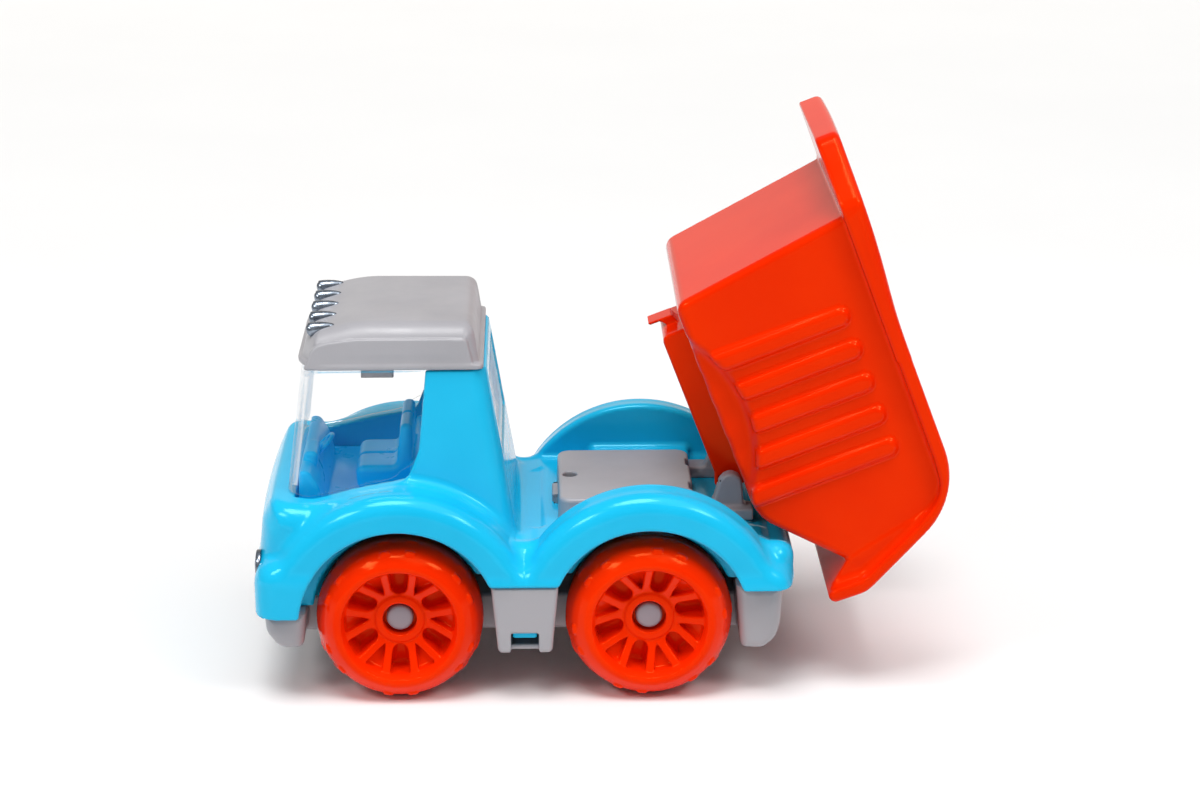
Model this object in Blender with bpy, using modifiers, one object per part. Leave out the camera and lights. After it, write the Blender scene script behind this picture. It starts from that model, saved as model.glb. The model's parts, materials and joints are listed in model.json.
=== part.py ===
"""Toy dump truck: a moulded plastic tipper on four free-rolling wheels, shown with its bed tipped up.

The truck drives towards +X, its left side is +Y and it stands on the plane Z = 0. Every outline below is
written in the truck frame: X from the rear axle, Z from the ground, and the bed as it lies when lowered.
The empty named truck_frame carries that frame, and bed_hinge carries the bed and tips it about its pins.
"""

import math

import bmesh
import bpy
from mathutils import Matrix, Vector

MM = 0.001

# Driving dimensions, in millimetres.
GAP = 0.3  # between neighbouring pieces
WALL = 2.6  # moulded plastic wall
WHEELBASE = 111.0
AXLE_HEIGHT = 37.2
TYRE_RADIUS = 37.2
TYRE_WIDTH = 24.0
WHEEL_CENTRE_Y = 60.0
AXLE_RADIUS = 2.5
BORE_RADIUS = 2.8
CAP_RADIUS = 6.0
ARCH_RADIUS = 43.0  # wheel opening in the side of the body
FENDER_RADIUS = 60.0  # outside of the fender over it
BODY_HALF_WIDTH = 72.5
FENDER_INNER_Y = 54.0
DECK_TOP = 72.0
TAIL_DECK_TOP = 66.0
TAIL_X = -65.5
NOSE_X = 173.8
CAB_FLOOR = 78.8
ROOF_BOTTOM = 148.0
CHASSIS_BOTTOM = 23.0
CHASSIS_HALF_WIDTH = 41.0
BED_PIVOT_X = -35.8
BED_PIVOT_Z = 86.6
PIN_RADIUS = 2.5
HORN_RADIUS = 7.5
BASE_TOP = 82.7
BASE_HALF_WIDTH = 34.5
BED_TILT = 69.0  # degrees, from lowered to fully tipped
BED_FLOOR = 96.1
BED_SKIRT = 177.6
BED_RIM = 184.1
GUARD_TOP = 187.8
TAIL_SLOPE = 0.908
BED_HALF_WIDTH = 55.0
BELLY_HALF_WIDTH = 51.0
RIM_HALF_WIDTH = 62.0
RELIEF_RADIUS = 63.0  # hollow in the bed's side over the rear fender
RELIEF_CENTRE = (3.5, 46.1)
SUBFRAME_BOTTOM = 83.5
SUBFRAME_FRONT = 37.9
HEADLIGHT_Y = 53.0
HEADLIGHT_Z = 60.0
BASE_SCREW_X = 34.3
STEERING_CENTRE = (146.6, 0.0, 98.0)
STEERING_LEAN = 65.0  # degrees from flat, top edge towards the rear
LENGTH_MIDDLE_X = 21.25  # middle of the truck's length, bed tipped

FRONT_AXLE_X = WHEELBASE
REAR_AXLE_X = 0.0
SIDES = {"left": 1.0, "right": -1.0}
AXLES = {"front": FRONT_AXLE_X, "rear": REAR_AXLE_X}


# Scene, collections and materials


def clear_scene():
    for obj in list(bpy.data.objects):
        bpy.data.objects.remove(obj, do_unlink=True)


def new_collection(name):
    collection = bpy.data.collections.new(name)
    bpy.context.scene.collection.children.link(collection)
    return collection


def linear(channel):
    value = channel / 255.0
    return value / 12.92 if value <= 0.04045 else ((value + 0.055) / 1.055) ** 2.4


def material(name, red, green, blue, roughness, metallic=0.0, transmission=0.0):
    made = bpy.data.materials.new(name)
    made.use_nodes = True
    shader = made.node_tree.nodes["Principled BSDF"]
    shader.inputs["Base Color"].default_value = (linear(red), linear(green), linear(blue), 1.0)
    shader.inputs["Roughness"].default_value = roughness
    shader.inputs["Metallic"].default_value = metallic
    shader.inputs["Transmission Weight"].default_value = transmission
    return made


clear_scene()
TRUCK = new_collection("toy_dump_truck")
CUTTERS = new_collection("cutters")
MATERIALS = {
    "blue": material("blue_plastic", 40, 186, 226, 0.25),
    "grey": material("grey_plastic", 160, 158, 165, 0.35),
    "orange": material("orange_plastic", 232, 40, 6, 0.25),
    "clear": material("clear_plastic", 240, 244, 246, 0.05, transmission=0.95),
    "lamp": material("silvered_plastic", 150, 165, 185, 0.15, metallic=0.9),
    "steel": material("plated_steel", 170, 170, 172, 0.3, metallic=1.0),
}


def empty(name, parent, location, rotation=(0.0, 0.0, 0.0)):
    made = bpy.data.objects.new(name, None)
    TRUCK.objects.link(made)
    made.parent = parent
    made.location = Vector(location) * MM
    made.rotation_euler = rotation
    return made


TRUCK_FRAME = empty("truck_frame", None, (-LENGTH_MIDDLE_X, 0.0, 0.0))
BED_HINGE = empty(
    "bed_hinge", TRUCK_FRAME, (BED_PIVOT_X, 0.0, BED_PIVOT_Z), (0.0, -math.radians(BED_TILT), 0.0)
)


# Outlines


def arc(centre_x, centre_z, radius, start, end, steps):
    """Points along an arc, from the start angle to the end angle in degrees."""
    points = []
    for step in range(steps + 1):
        angle = math.radians(start + (end - start) * step / steps)
        points.append((centre_x + radius * math.cos(angle), centre_z + radius * math.sin(angle)))
    return points


def rounded(points, steps=4):
    """The outline with each corner that has a third number rounded to that radius."""
    outline = []
    for index, point in enumerate(points):
        if len(point) == 2:
            outline.append(point)
            continue
        here = Vector(point[:2])
        before = (Vector(points[index - 1][:2]) - here).normalized()
        after = (Vector(points[(index + 1) % len(points)][:2]) - here).normalized()
        half = before.angle(after) / 2.0
        middle = here + (before + after).normalized() * (point[2] / math.sin(half))
        first = here + before * (point[2] / math.tan(half)) - middle
        turn = first.angle_signed(here + after * (point[2] / math.tan(half)) - middle)
        for step in range(steps + 1):
            outline.append(tuple(middle + Matrix.Rotation(-turn * step / steps, 2) @ first))
    return outline


def shifted(outline, along, up):
    return [(first + along, second + up) for first, second in outline]


# Solids


def add(mesh, name, parent=None, location=(0.0, 0.0, 0.0)):
    obj = bpy.data.objects.new(name, mesh)
    CUTTERS.objects.link(obj)
    obj.hide_render = True
    obj.display_type = "WIRE"
    obj.parent = parent or TRUCK_FRAME
    obj.location = Vector(location) * MM
    return obj


def mesh_of(build, name):
    """A new mesh, in metres, from what the function makes in millimetres."""
    shape = bmesh.new()
    build(shape)
    bmesh.ops.scale(shape, vec=(MM, MM, MM), verts=shape.verts)
    mesh = bpy.data.meshes.new(name)
    shape.to_mesh(mesh)
    shape.free()
    return mesh


def extrusion(name, outline, low, high, upright=True):
    """A flat outline given thickness: an XZ outline along Y, or an XY outline along Z."""
    data = bpy.data.curves.new(name, "CURVE")
    data.dimensions = "2D"
    data.fill_mode = "BOTH"
    data.extrude = (high - low) / 2.0 * MM
    spline = data.splines.new("POLY")
    spline.points.add(len(outline) - 1)
    spline.use_cyclic_u = True
    for point, (first, second) in zip(spline.points, outline):
        point.co = (first * MM, second * MM, 0.0, 1.0)
    guide = bpy.data.objects.new(name, data)
    CUTTERS.objects.link(guide)
    bpy.context.view_layer.update()
    evaluated = guide.evaluated_get(bpy.context.evaluated_depsgraph_get())
    mesh = bpy.data.meshes.new_from_object(evaluated)
    bpy.data.objects.remove(guide, do_unlink=True)
    middle = (low + high) / 2.0 * MM
    place = Matrix.Translation((0.0, 0.0, middle))
    if upright:
        place = Matrix.Translation((0.0, middle, 0.0)) @ Matrix.Rotation(math.pi / 2.0, 4, "X")
    mesh.transform(place)
    shape = bmesh.new()
    shape.from_mesh(mesh)
    bmesh.ops.remove_doubles(shape, verts=shape.verts, dist=0.00001)
    bmesh.ops.recalc_face_normals(shape, faces=shape.faces)
    shape.to_mesh(mesh)
    shape.free()
    return mesh


def box(name, x_range, y_range, z_range):
    def build(shape):
        cube = bmesh.ops.create_cube(shape, size=1.0)["verts"]
        lows = Vector((x_range[0], y_range[0], z_range[0]))
        highs = Vector((x_range[1], y_range[1], z_range[1]))
        bmesh.ops.scale(shape, vec=highs - lows, verts=cube)
        bmesh.ops.translate(shape, vec=(lows + highs) / 2.0, verts=cube)

    return mesh_of(build, name)


def tapered_box(name, bottom, top):
    """A block between two rectangles, each (first x, last x, half width, z)."""

    def build(shape):
        for vertex in bmesh.ops.create_cube(shape, size=1.0)["verts"]:
            first, last, half, height = bottom if vertex.co.z < 0.0 else top
            across = first if vertex.co.x < 0.0 else last
            vertex.co = (across, half if vertex.co.y > 0.0 else -half, height)

    return mesh_of(build, name)


def rod(name, centre, radius, length, axis="Y", sides=24):
    turns = {"X": Matrix.Rotation(math.pi / 2, 4, "Y"), "Y": Matrix.Rotation(-math.pi / 2, 4, "X")}

    def build(shape):
        bmesh.ops.create_cone(
            shape, cap_ends=True, segments=sides, radius1=radius, radius2=radius, depth=length
        )
        bmesh.ops.transform(shape, matrix=turns.get(axis, Matrix()), verts=shape.verts)
        bmesh.ops.translate(shape, vec=centre, verts=shape.verts)

    return mesh_of(build, name)


def turned(name, profile, steps, closed=True):
    """A profile of (radius, height) points, running down its outer side, turned about Z."""
    mesh = bpy.data.meshes.new(name)
    count = len(profile)
    edges = [(index, (index + 1) % count) for index in range(count if closed else count - 1)]
    mesh.from_pydata([(radius * MM, 0.0, height * MM) for radius, height in profile], edges, [])
    obj = add(mesh, name)
    screw = obj.modifiers.new("turn", "SCREW")
    screw.steps = steps
    screw.render_steps = steps
    screw.use_merge_vertices = True
    screw.merge_threshold = 0.00001
    return obj


def bevel(obj, width, segments=2, angle=50.0):
    made = obj.modifiers.new("bevel", "BEVEL")
    made.width = width * MM
    made.segments = segments
    made.limit_method = "ANGLE"
    made.angle_limit = math.radians(angle)
    return obj


def boolean(obj, other, operation):
    made = obj.modifiers.new(other.name, "BOOLEAN")
    made.operation = operation
    made.object = other
    return obj


def join(obj, mesh, name, location=(0.0, 0.0, 0.0)):
    """Adds a mesh to the object, in the object's own frame, and returns the helper."""
    helper = add(mesh, f"{obj.name}_{name}", obj.parent, location)
    boolean(obj, helper, "UNION")
    return helper


def cut(obj, mesh, name, location=(0.0, 0.0, 0.0)):
    helper = add(mesh, f"{obj.name}_{name}", obj.parent, location)
    boolean(obj, helper, "DIFFERENCE")
    return helper


def finish(obj, colour, sharp_angle=35.0):
    """Turns a helper into a visible part."""
    CUTTERS.objects.unlink(obj)
    TRUCK.objects.link(obj)
    obj.hide_render = False
    obj.display_type = "TEXTURED"
    obj.data.materials.append(MATERIALS[colour])
    obj.data.shade_smooth()
    obj.data.set_sharp_from_angle(angle=math.radians(sharp_angle))
    return obj


def frozen(obj, name):
    """A plain mesh of the object with its modifiers applied, for copies that share it."""
    bpy.context.view_layer.update()
    evaluated = obj.evaluated_get(bpy.context.evaluated_depsgraph_get())
    mesh = bpy.data.meshes.new_from_object(evaluated)
    mesh.name = name
    return mesh


# Body shell


def body_outline():
    """Side view of the body: tail, rear fender, sill, front fender, cowl and nose."""
    shoulder = 69.5
    start = math.degrees(math.asin((shoulder - AXLE_HEIGHT) / FENDER_RADIUS))
    points = [(TAIL_X, 20.0)]
    points += rounded([(TAIL_X, 20.0), (TAIL_X, shoulder, 6.0), (-50.0, shoulder)], 4)[1:-1]
    points += arc(REAR_AXLE_X, AXLE_HEIGHT, FENDER_RADIUS, 180.0 - start, start, 22)
    points += arc(FRONT_AXLE_X, AXLE_HEIGHT, FENDER_RADIUS, 180.0 - start, 76.0, 14)
    nose = [(125.5, 95.4), (149.0, 90.0, 14.0), (165.5, 92.0, 3.0), (172.2, 83.0, 8.0)]
    points += rounded(nose + [(NOSE_X, 62.0), (NOSE_X - 0.3, 20.0)], 3)[1:]
    return points


def window_outline(grow):
    """Side view of the glazed part of the cab, with every edge moved out by grow."""
    return rounded(
        [
            (98.0 - grow, 150.0),
            (102.0 - grow, 112.0 - grow, 14.0),
            (107.0 - grow, 99.2 - grow, 6.0),
            (126.0, 95.8 - grow, 30.0),
            (149.0, 90.5 - grow, 20.0),
            (170.0, 92.8 - grow),
            (170.0, 150.0),
        ],
        3,
    )


def rear_wall_x(height):
    """The sloping back of the cab."""
    return 59.6 + (height - 77.0) * 0.165


def deck_well_outline():
    """The space over the deck, between the fenders and behind the cab."""
    return [
        (-90.0, TAIL_DECK_TOP),
        (-54.0, TAIL_DECK_TOP),
        (-50.5, DECK_TOP),
        (rear_wall_x(DECK_TOP), DECK_TOP),
        (rear_wall_x(160.0), 160.0),
        (-90.0, 160.0),
    ]


def lower_edge_outline():
    """Everything below the body's lower edge."""
    rear, middle, front = 53.2, 55.8, 41.5
    levels = [(-80.0, -5.0), (-80.0, rear), (REAR_AXLE_X, rear), (REAR_AXLE_X, middle)]
    return levels + [(FRONT_AXLE_X, middle), (FRONT_AXLE_X, front), (190.0, front), (190.0, -5.0)]


def underside_outline():
    """The hollow under the deck and the cab."""
    inner_nose = NOSE_X - WALL - 0.6
    deck = DECK_TOP - WALL - 0.5
    return [
        (TAIL_X + WALL, 10.0),
        (TAIL_X + WALL, TAIL_DECK_TOP - WALL),
        (-51.0, TAIL_DECK_TOP - WALL),
        (-47.5, deck),
        (62.0, deck),
        (66.0, CAB_FLOOR - GAP - WALL),
        (162.0, CAB_FLOOR - GAP - WALL),
        (inner_nose, 70.0),
        (inner_nose, 10.0),
    ]


def make_body():
    outline = body_outline()
    body = add(extrusion("body_shell", outline, -BODY_HALF_WIDTH, BODY_HALF_WIDTH), "body_shell")
    bevel(body, 8.0, 3, 60.0)
    cab_low = (rear_wall_x(72.0), 130.0, 52.3, 72.0)
    cab_high = (rear_wall_x(ROOF_BOTTOM - 0.4), 120.0, 45.2, ROOF_BOTTOM - 0.4)
    cut(body, extrusion("w", deck_well_outline(), -FENDER_INNER_Y, FENDER_INNER_Y), "deck_well")
    join(body, tapered_box("c", cab_low, cab_high), "cab")
    cut(body, extrusion("g", window_outline(0.4), -60.0, 60.0), "window")
    for side, sign in SIDES.items():
        ends = sorted((sign * 44.5, sign * 56.0))
        join(body, box("w", (-25.0, 25.0), ends, (DECK_TOP - 4.0, 78.4)), f"{side}_wheel_well")
    room_low = (rear_wall_x(CAB_FLOOR) + WALL, 157.0, 49.0, CAB_FLOOR - GAP)
    room_high = (rear_wall_x(152.0) + WALL, 152.0, 42.2, 152.0)
    cut(body, tapered_box("r", room_low, room_high), "cab_room")
    inner_y = BODY_HALF_WIDTH - WALL - 0.4
    cut(body, extrusion("u", underside_outline(), -inner_y, inner_y), "underside")
    for axle, axle_x in AXLES.items():
        for side, sign in SIDES.items():
            where = (axle_x, sign * (57.0 + inner_y) / 2.0, AXLE_HEIGHT)
            inside = rod("f", where, FENDER_RADIUS - WALL, inner_y - 57.0, sides=44)
            cut(body, inside, f"{axle}_{side}_fender_hollow")
            where = (axle_x, sign * 58.5, AXLE_HEIGHT)
            cut(body, rod("t", where, TYRE_RADIUS + 1.2, 23.0, sides=40), f"{axle}_{side}_tyre_room")
            where = (axle_x, sign * 74.0, AXLE_HEIGHT)
            cut(body, rod("a", where, ARCH_RADIUS, 16.0, sides=44), f"{axle}_{side}_arch")
    cut(body, extrusion("l", lower_edge_outline(), -80.0, 80.0), "lower_edge")
    rear_window_opening(body)
    for side, sign in SIDES.items():
        ends = sorted((sign * 67.4, sign * 70.0))
        join(body, box("tab", (50.0, 60.8), ends, (30.8, 60.0)), f"{side}_snap_tab")
        where = (NOSE_X, sign * HEADLIGHT_Y, HEADLIGHT_Z)
        cut(body, rod("h", where, 7.3, 3.0, "X", 24), f"{side}_headlight_seat")
    for number, (x, y) in enumerate(SCREW_PLACES, 1):
        top = DECK_TOP - 1.5 if x < 60.0 else CAB_FLOOR - 1.5
        low = CHASSIS_BOTTOM + 7.3
        join(body, rod("b", (x, y, (top + low) / 2), 4.2, top - low, "Z", 12), f"boss_{number}")
        cut(body, rod("p", (x, y, low + 6.0), 1.7, 14.0, "Z", 8), f"boss_hole_{number}")
    join(body, rod("b", (BASE_SCREW_X, 0.0, 65.5), 4.0, 9.0, "Z", 12), "base_boss")
    cut(body, rod("p", (BASE_SCREW_X, 0.0, 68.0), 1.7, 18.0, "Z", 8), "base_boss_hole")
    cut(body, box("s", (40.0, 43.5), (-7.6, 7.6), (62.0, 80.0)), "clip_slot")
    return finish(body, "blue")


def rear_window_opening(body):
    low, high = 108.0, 139.0
    outline = [
        (rear_wall_x(low) - 3.0, low),
        (rear_wall_x(low) + 6.0, low),
        (rear_wall_x(high) + 6.0, high),
        (rear_wall_x(high) - 3.0, high),
    ]
    cut(body, extrusion("o", outline, -34.0, 34.0), "rear_window_opening")


def make_rear_window():
    low, high = 108.0 + GAP, 139.0 - GAP
    outline = [
        (rear_wall_x(low) + 0.5, low),
        (rear_wall_x(low) + 2.1, low),
        (rear_wall_x(high) + 2.1, high),
        (rear_wall_x(high) + 0.5, high),
    ]
    pane = add(extrusion("rear_window", outline, -34.0 + GAP, 34.0 - GAP), "rear_window")
    return finish(pane, "clear")


def make_glazing():
    """Windscreen and side windows in one clear moulding."""
    thick = 1.6
    low = (70.0, 160.6, 50.6, 88.0)
    high = (80.0, 153.0, 45.0, ROOF_BOTTOM - 0.4)
    glazing = add(tapered_box("cab_glazing", low, high), "cab_glazing")
    hollow_low = (60.0, low[1] - thick + 0.13, low[2] - thick + 0.1, 87.0)
    hollow_high = (60.0, high[1] - thick - 0.13, high[2] - thick - 0.1, ROOF_BOTTOM + 0.6)
    cut(glazing, tapered_box("h", hollow_low, hollow_high), "hollow")
    frame = add(extrusion("g", window_outline(0.0), -60.0, 60.0), "cab_glazing_outline")
    boolean(glazing, frame, "INTERSECT")
    return finish(glazing, "clear")


# Roof, lamps and cab fittings


def roof_outline():
    return rounded(
        [
            (71.4, 140.0),
            (72.8, ROOF_BOTTOM + 2.0),
            (77.6, 165.2, 4.0),
            (130.0, 165.2, 50.0),
            (150.0, 159.0, 8.0),
            (155.2, ROOF_BOTTOM + 1.5, 2.5),
            (154.6, 140.0),
        ],
        4,
    )


def make_roof():
    roof = add(extrusion("cab_roof", roof_outline(), -45.5, 45.5), "cab_roof")
    bevel(roof, 4.5, 3, 50.0)
    cut(roof, box("b", (60.0, 170.0), (-60.0, 60.0), (130.0, ROOF_BOTTOM)), "bottom")
    low = (76.0, 151.0, 42.2, ROOF_BOTTOM - 2.0)
    high = (81.0, 143.0, 40.0, 158.0)
    cut(roof, tapered_box("h", low, high), "hollow")
    clip = box("c", (113.0, 126.5), (18.0, 34.0), (ROOF_BOTTOM - 4.0, 159.5))
    join(roof, clip, "inner_clip")
    return finish(roof, "grey")


def make_lamps():
    """Five teardrop lamps in a row over the windscreen, lens forward."""
    lens = [(0.0, 6.0), (1.8, 5.6), (2.7, 4.6), (3.0, 2.8)]
    profile = lens + [(2.6, 0.0), (1.5, -3.8), (0.6, -5.6), (0.0, -6.0)]
    lamp = turned("lamp_profile", profile, 16, closed=False)
    lamp_mesh = frozen(lamp, "roof_lamp")
    bpy.data.objects.remove(lamp, do_unlink=True)
    lamp_mesh.transform(Matrix.Rotation(math.radians(90.0 + 11.0), 4, "Y"))
    keep_off = shifted(roof_outline(), 0.0, 0.35)
    for number in range(5):
        across = (2 - number) * 16.75
        lamp = add(lamp_mesh.copy(), f"roof_lamp_{number + 1}", None, (144.2, across, 162.8))
        surface = add(extrusion("k", keep_off, across - 6.0, across + 6.0), f"roof_surface_{number + 1}")
        boolean(lamp, surface, "DIFFERENCE")
        finish(lamp, "lamp")


def make_headlights():
    for side, sign in SIDES.items():
        where = (NOSE_X, sign * HEADLIGHT_Y, HEADLIGHT_Z)
        lens = add(rod("lens", (0.0, 0.0, 0.0), 7.0, 2.4, "X", 24), f"headlight_{side}", None, where)
        bevel(lens, 0.8, 2)
        finish(lens, "lamp")


def make_interior():
    """Cab tray with its bench seat and dashboard, in one moulding."""
    tray_low = CAB_FLOOR
    base = (rear_wall_x(tray_low) + WALL + 0.8, 156.2, 47.6, tray_low)
    top = (base[0] + 0.3, 156.2, 47.4, tray_low + 2.0)
    tray = add(tapered_box("cab_interior", base, top), "cab_interior")
    seat = rounded(
        [
            (106.0, tray_low + 1.0),
            (105.4, 114.0, 2.0),
            (110.6, 114.0, 2.4),
            (113.2, 94.2, 2.5),
            (132.0, 94.2, 3.5),
            (131.0, 84.0, 2.0),
            (122.0, tray_low + 1.0),
        ],
        3,
    )
    join(tray, extrusion("s", seat, -20.0, 20.0), "seat")
    dash = rounded(
        [
            (150.5, tray_low + 1.0),
            (151.0, 97.0, 2.0),
            (152.6, 103.0, 1.2),
            (154.6, 102.0, 1.0),
            (155.8, tray_low + 1.0),
        ],
        3,
    )
    join(tray, extrusion("d", dash, -39.0, 39.0), "dashboard")
    cut(tray, rod("c", (151.0, 0.0, 98.0), 1.6, 6.0, "X", 10), "column_hole")
    return finish(tray, "blue")


def make_steering_wheel():
    """Rim, spoke and hub in one piece, on a short column set into the dashboard."""
    profile = [(6.2, 1.0), (7.2, 0.0), (6.2, -1.0), (5.2, 0.0)]
    wheel = turned("steering_wheel", profile, 20)
    wheel.location = Vector(STEERING_CENTRE) * MM
    wheel.rotation_euler = (0.0, math.radians(STEERING_LEAN), 0.0)
    spoke = join(wheel, box("s", (-0.9, 0.9), (-5.8, 5.8), (-0.8, 0.8)), "spoke", STEERING_CENTRE)
    hub = join(wheel, rod("h", (0.0, 0.0, 0.0), 2.2, 2.0, "Z", 10), "hub", STEERING_CENTRE)
    for helper in (spoke, hub):
        helper.rotation_euler = wheel.rotation_euler
    x, y, z = STEERING_CENTRE
    join(wheel, rod("c", (x + 2.8, y, z), 1.2, 5.6, "X", 10), "column")
    return finish(wheel, "blue")


# Chassis, axles and wheels

SCREW_PLACES = [(-30.0, 24.0), (-30.0, -24.0), (82.0, 24.0), (82.0, -24.0)]


def rear_bumper_outline():
    back = [(-59.3, 52.9), (-58.4, 34.0), (-56.6, 28.0, 8.0)]
    return rounded(back + [(-51.0, 22.6, 5.0), (-41.0, 22.8, 2.5), (-38.6, 52.9)], 3)


def front_bumper_outline():
    return rounded(
        [(152.6, 41.2), (154.0, 25.2, 2.5), (164.0, 24.6, 6.0), (170.0, 32.0, 6.0), (170.8, 41.2)], 3
    )


def make_chassis():
    bottom = CHASSIS_BOTTOM
    outer = [(-57.5, bottom), (168.0, bottom), (168.0, 40.6), (-57.5, 40.6)]
    width = CHASSIS_HALF_WIDTH
    chassis = add(extrusion("chassis_base", outer, -width, width), "chassis_base")
    join(chassis, extrusion("r", rear_bumper_outline(), -66.5, 66.5), "rear_bumper").name = "rear_bumper"
    join(chassis, extrusion("f", front_bumper_outline(), -66.5, 66.5), "front_bumper").name = "front_bumper"
    for helper in (bpy.data.objects["rear_bumper"], bpy.data.objects["front_bumper"]):
        bevel(helper, 4.0, 2, 60.0)
    step_low = (43.6, 67.6, 72.2, bottom + 1.3)
    step_high = (40.3, 70.0, 72.2, 55.4)
    join(chassis, tapered_box("s", step_low, step_high), "step_boxes")
    walls = width - WALL
    room = [(-54.5, bottom + WALL), (165.0, bottom + WALL), (165.0, 60.0), (-54.5, 60.0)]
    cut(chassis, extrusion("room", room, -walls, walls), "inner_room")
    for side, sign in SIDES.items():
        ends = sorted((sign * 43.5, sign * 70.4))
        pocket_low = (46.6, 64.6, bottom + 4.0)
        cut(chassis, box("p", pocket_low[:2], ends, (pocket_low[2], 60.0)), f"{side}_step_pocket")
        ends = sorted((sign * 66.5, sign * 74.0))
        cut(chassis, box("n", (49.2, 61.6), ends, (20.0, 34.2)), f"{side}_tab_window")
        for end, x_range in {"rear": (-55.5, -42.5), "front": (157.0, 167.0)}.items():
            ends = sorted((sign * 43.5, sign * 62.5))
            cut(chassis, box("k", x_range, ends, (bottom + 4.0, 60.0)), f"{side}_{end}_bumper_pocket")
    for axle, axle_x in AXLES.items():
        cut(chassis, rod("x", (axle_x, 0.0, AXLE_HEIGHT), BORE_RADIUS, 100.0, sides=16), f"{axle}_axle_hole")
    for number, (x, y) in enumerate(SCREW_PLACES, 1):
        join(chassis, rod("b", (x, y, bottom + 3.6), 6.0, 6.8, "Z", 14), f"screw_boss_{number}")
        cut(chassis, rod("h", (x, y, bottom), 3.6, 5.0, "Z", 14), f"head_recess_{number}")
        cut(chassis, rod("s", (x, y, bottom + 6.0), 1.7, 12.0, "Z", 8), f"shank_hole_{number}")
    return finish(chassis, "grey")


def make_screws():
    """Pan-head screws that hold the chassis to the bosses of the body."""
    head, shank = 2.9, 1.35
    under = CHASSIS_BOTTOM + 2.2
    profile = [(0.0, 12.0), (shank - 0.5, 11.6), (shank, 10.6), (shank, 0.0)]
    profile += [(head, 0.0), (head, -1.0), (2.1, -1.9), (0.0, -2.1)]
    screw = turned("screw_profile", profile, 12, closed=False)
    mesh = frozen(screw, "screw")
    bpy.data.objects.remove(screw, do_unlink=True)
    for number, (x, y) in enumerate(SCREW_PLACES, 1):
        finish(add(mesh.copy(), f"chassis_screw_{number}", None, (x, y, under)), "steel")
    down = add(mesh.copy(), "hinge_base_screw", None, (BASE_SCREW_X, 0.0, 76.3))
    down.rotation_euler = (math.pi, 0.0, 0.0)
    finish(down, "steel")


def make_axles():
    for axle, axle_x in AXLES.items():
        shaft = rod("shaft", (0.0, 0.0, 0.0), AXLE_RADIUS, 113.0, "Y", 16)
        finish(add(shaft, f"{axle}_axle", None, (axle_x, 0.0, AXLE_HEIGHT)), "steel")


def make_caps():
    """Push-on caps that keep the wheels on the axles."""
    profile = [(0.0, 2.2), (4.6, 2.1), (5.5, 1.7), (CAP_RADIUS, 0.9), (CAP_RADIUS, -1.9), (0.0, -1.9)]
    cap = turned("cap_profile", profile, 24, closed=False)
    mesh = frozen(cap, "axle_cap")
    bpy.data.objects.remove(cap, do_unlink=True)
    for axle, axle_x in AXLES.items():
        for side, sign in SIDES.items():
            place = (axle_x, sign * 58.8, AXLE_HEIGHT)
            cap = add(mesh.copy(), f"{axle}_{side}_axle_cap", None, place)
            cap.rotation_euler = (-sign * math.pi / 2.0, 0.0, 0.0)
            finish(cap, "grey")


def wheel_profile():
    """Half section of a wheel: hub, web and rounded tyre, with its outer face at the top."""
    half = TYRE_WIDTH / 2.0
    tyre = TYRE_RADIUS
    outer = [(7.5, half - 9.4), (10.5, half - 9.4), (11.0, half - 10.0), (24.0, half - 4.0)]
    lip = [(25.2, half - 0.5), (27.0, half), (30.6, half - 1.3)]
    shoulder = lip + [(34.0, half - 4.6), (36.3, half - 9.0), (tyre, half - 14.0)]
    inner = [(tyre, -half + 3.5), (34.0, -half), (25.0, -half)]
    back = [(24.0, -2.6), (8.0, -7.0), (7.5, -half + 1.0), (BORE_RADIUS, -half + 1.0)]
    return [(BORE_RADIUS, -3.4), (7.5, -3.4)] + outer + shoulder + inner + back


def wheel_windows():
    """Six windows through the web, between the spokes."""

    def build(shape):
        for index in range(6):
            cube = bmesh.ops.create_cube(shape, size=1.0)["verts"]
            for vertex in cube:
                along = 12.5 if vertex.co.x < 0.0 else 23.6
                spread = 2.6 if vertex.co.x < 0.0 else 4.6
                height = 14.0 if vertex.co.z > 0.0 else -8.0
                vertex.co = (along, math.copysign(spread, vertex.co.y), height)
            turn = Matrix.Rotation(math.radians(60.0 * index), 4, "Z")
            bmesh.ops.transform(shape, matrix=turn, verts=cube)

    return mesh_of(build, "wheel_windows")


def make_wheels():
    wheel = turned("wheel_profile", wheel_profile(), 36)
    cut(wheel, wheel_windows(), "windows")
    mesh = frozen(wheel, "wheel")
    bpy.data.objects.remove(wheel, do_unlink=True)
    for axle, axle_x in AXLES.items():
        for side, sign in SIDES.items():
            place = (axle_x, sign * WHEEL_CENTRE_Y, AXLE_HEIGHT)
            wheel = add(mesh.copy(), f"{axle}_{side}_wheel", None, place)
            wheel.rotation_euler = (-sign * math.pi / 2.0, 0.0, 0.0)
            finish(wheel, "orange")


# Hinge base and pins


def horn_outline():
    """Hinge post: a rounded head round the pin on a flared foot."""
    foot_z = DECK_TOP + GAP
    head = arc(BED_PIVOT_X, BED_PIVOT_Z, HORN_RADIUS, 0.0, 180.0, 10)
    return head + [(-45.4, 79.5), (-49.3, foot_z), (-25.5, foot_z), (-28.6, 79.5)]


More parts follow.
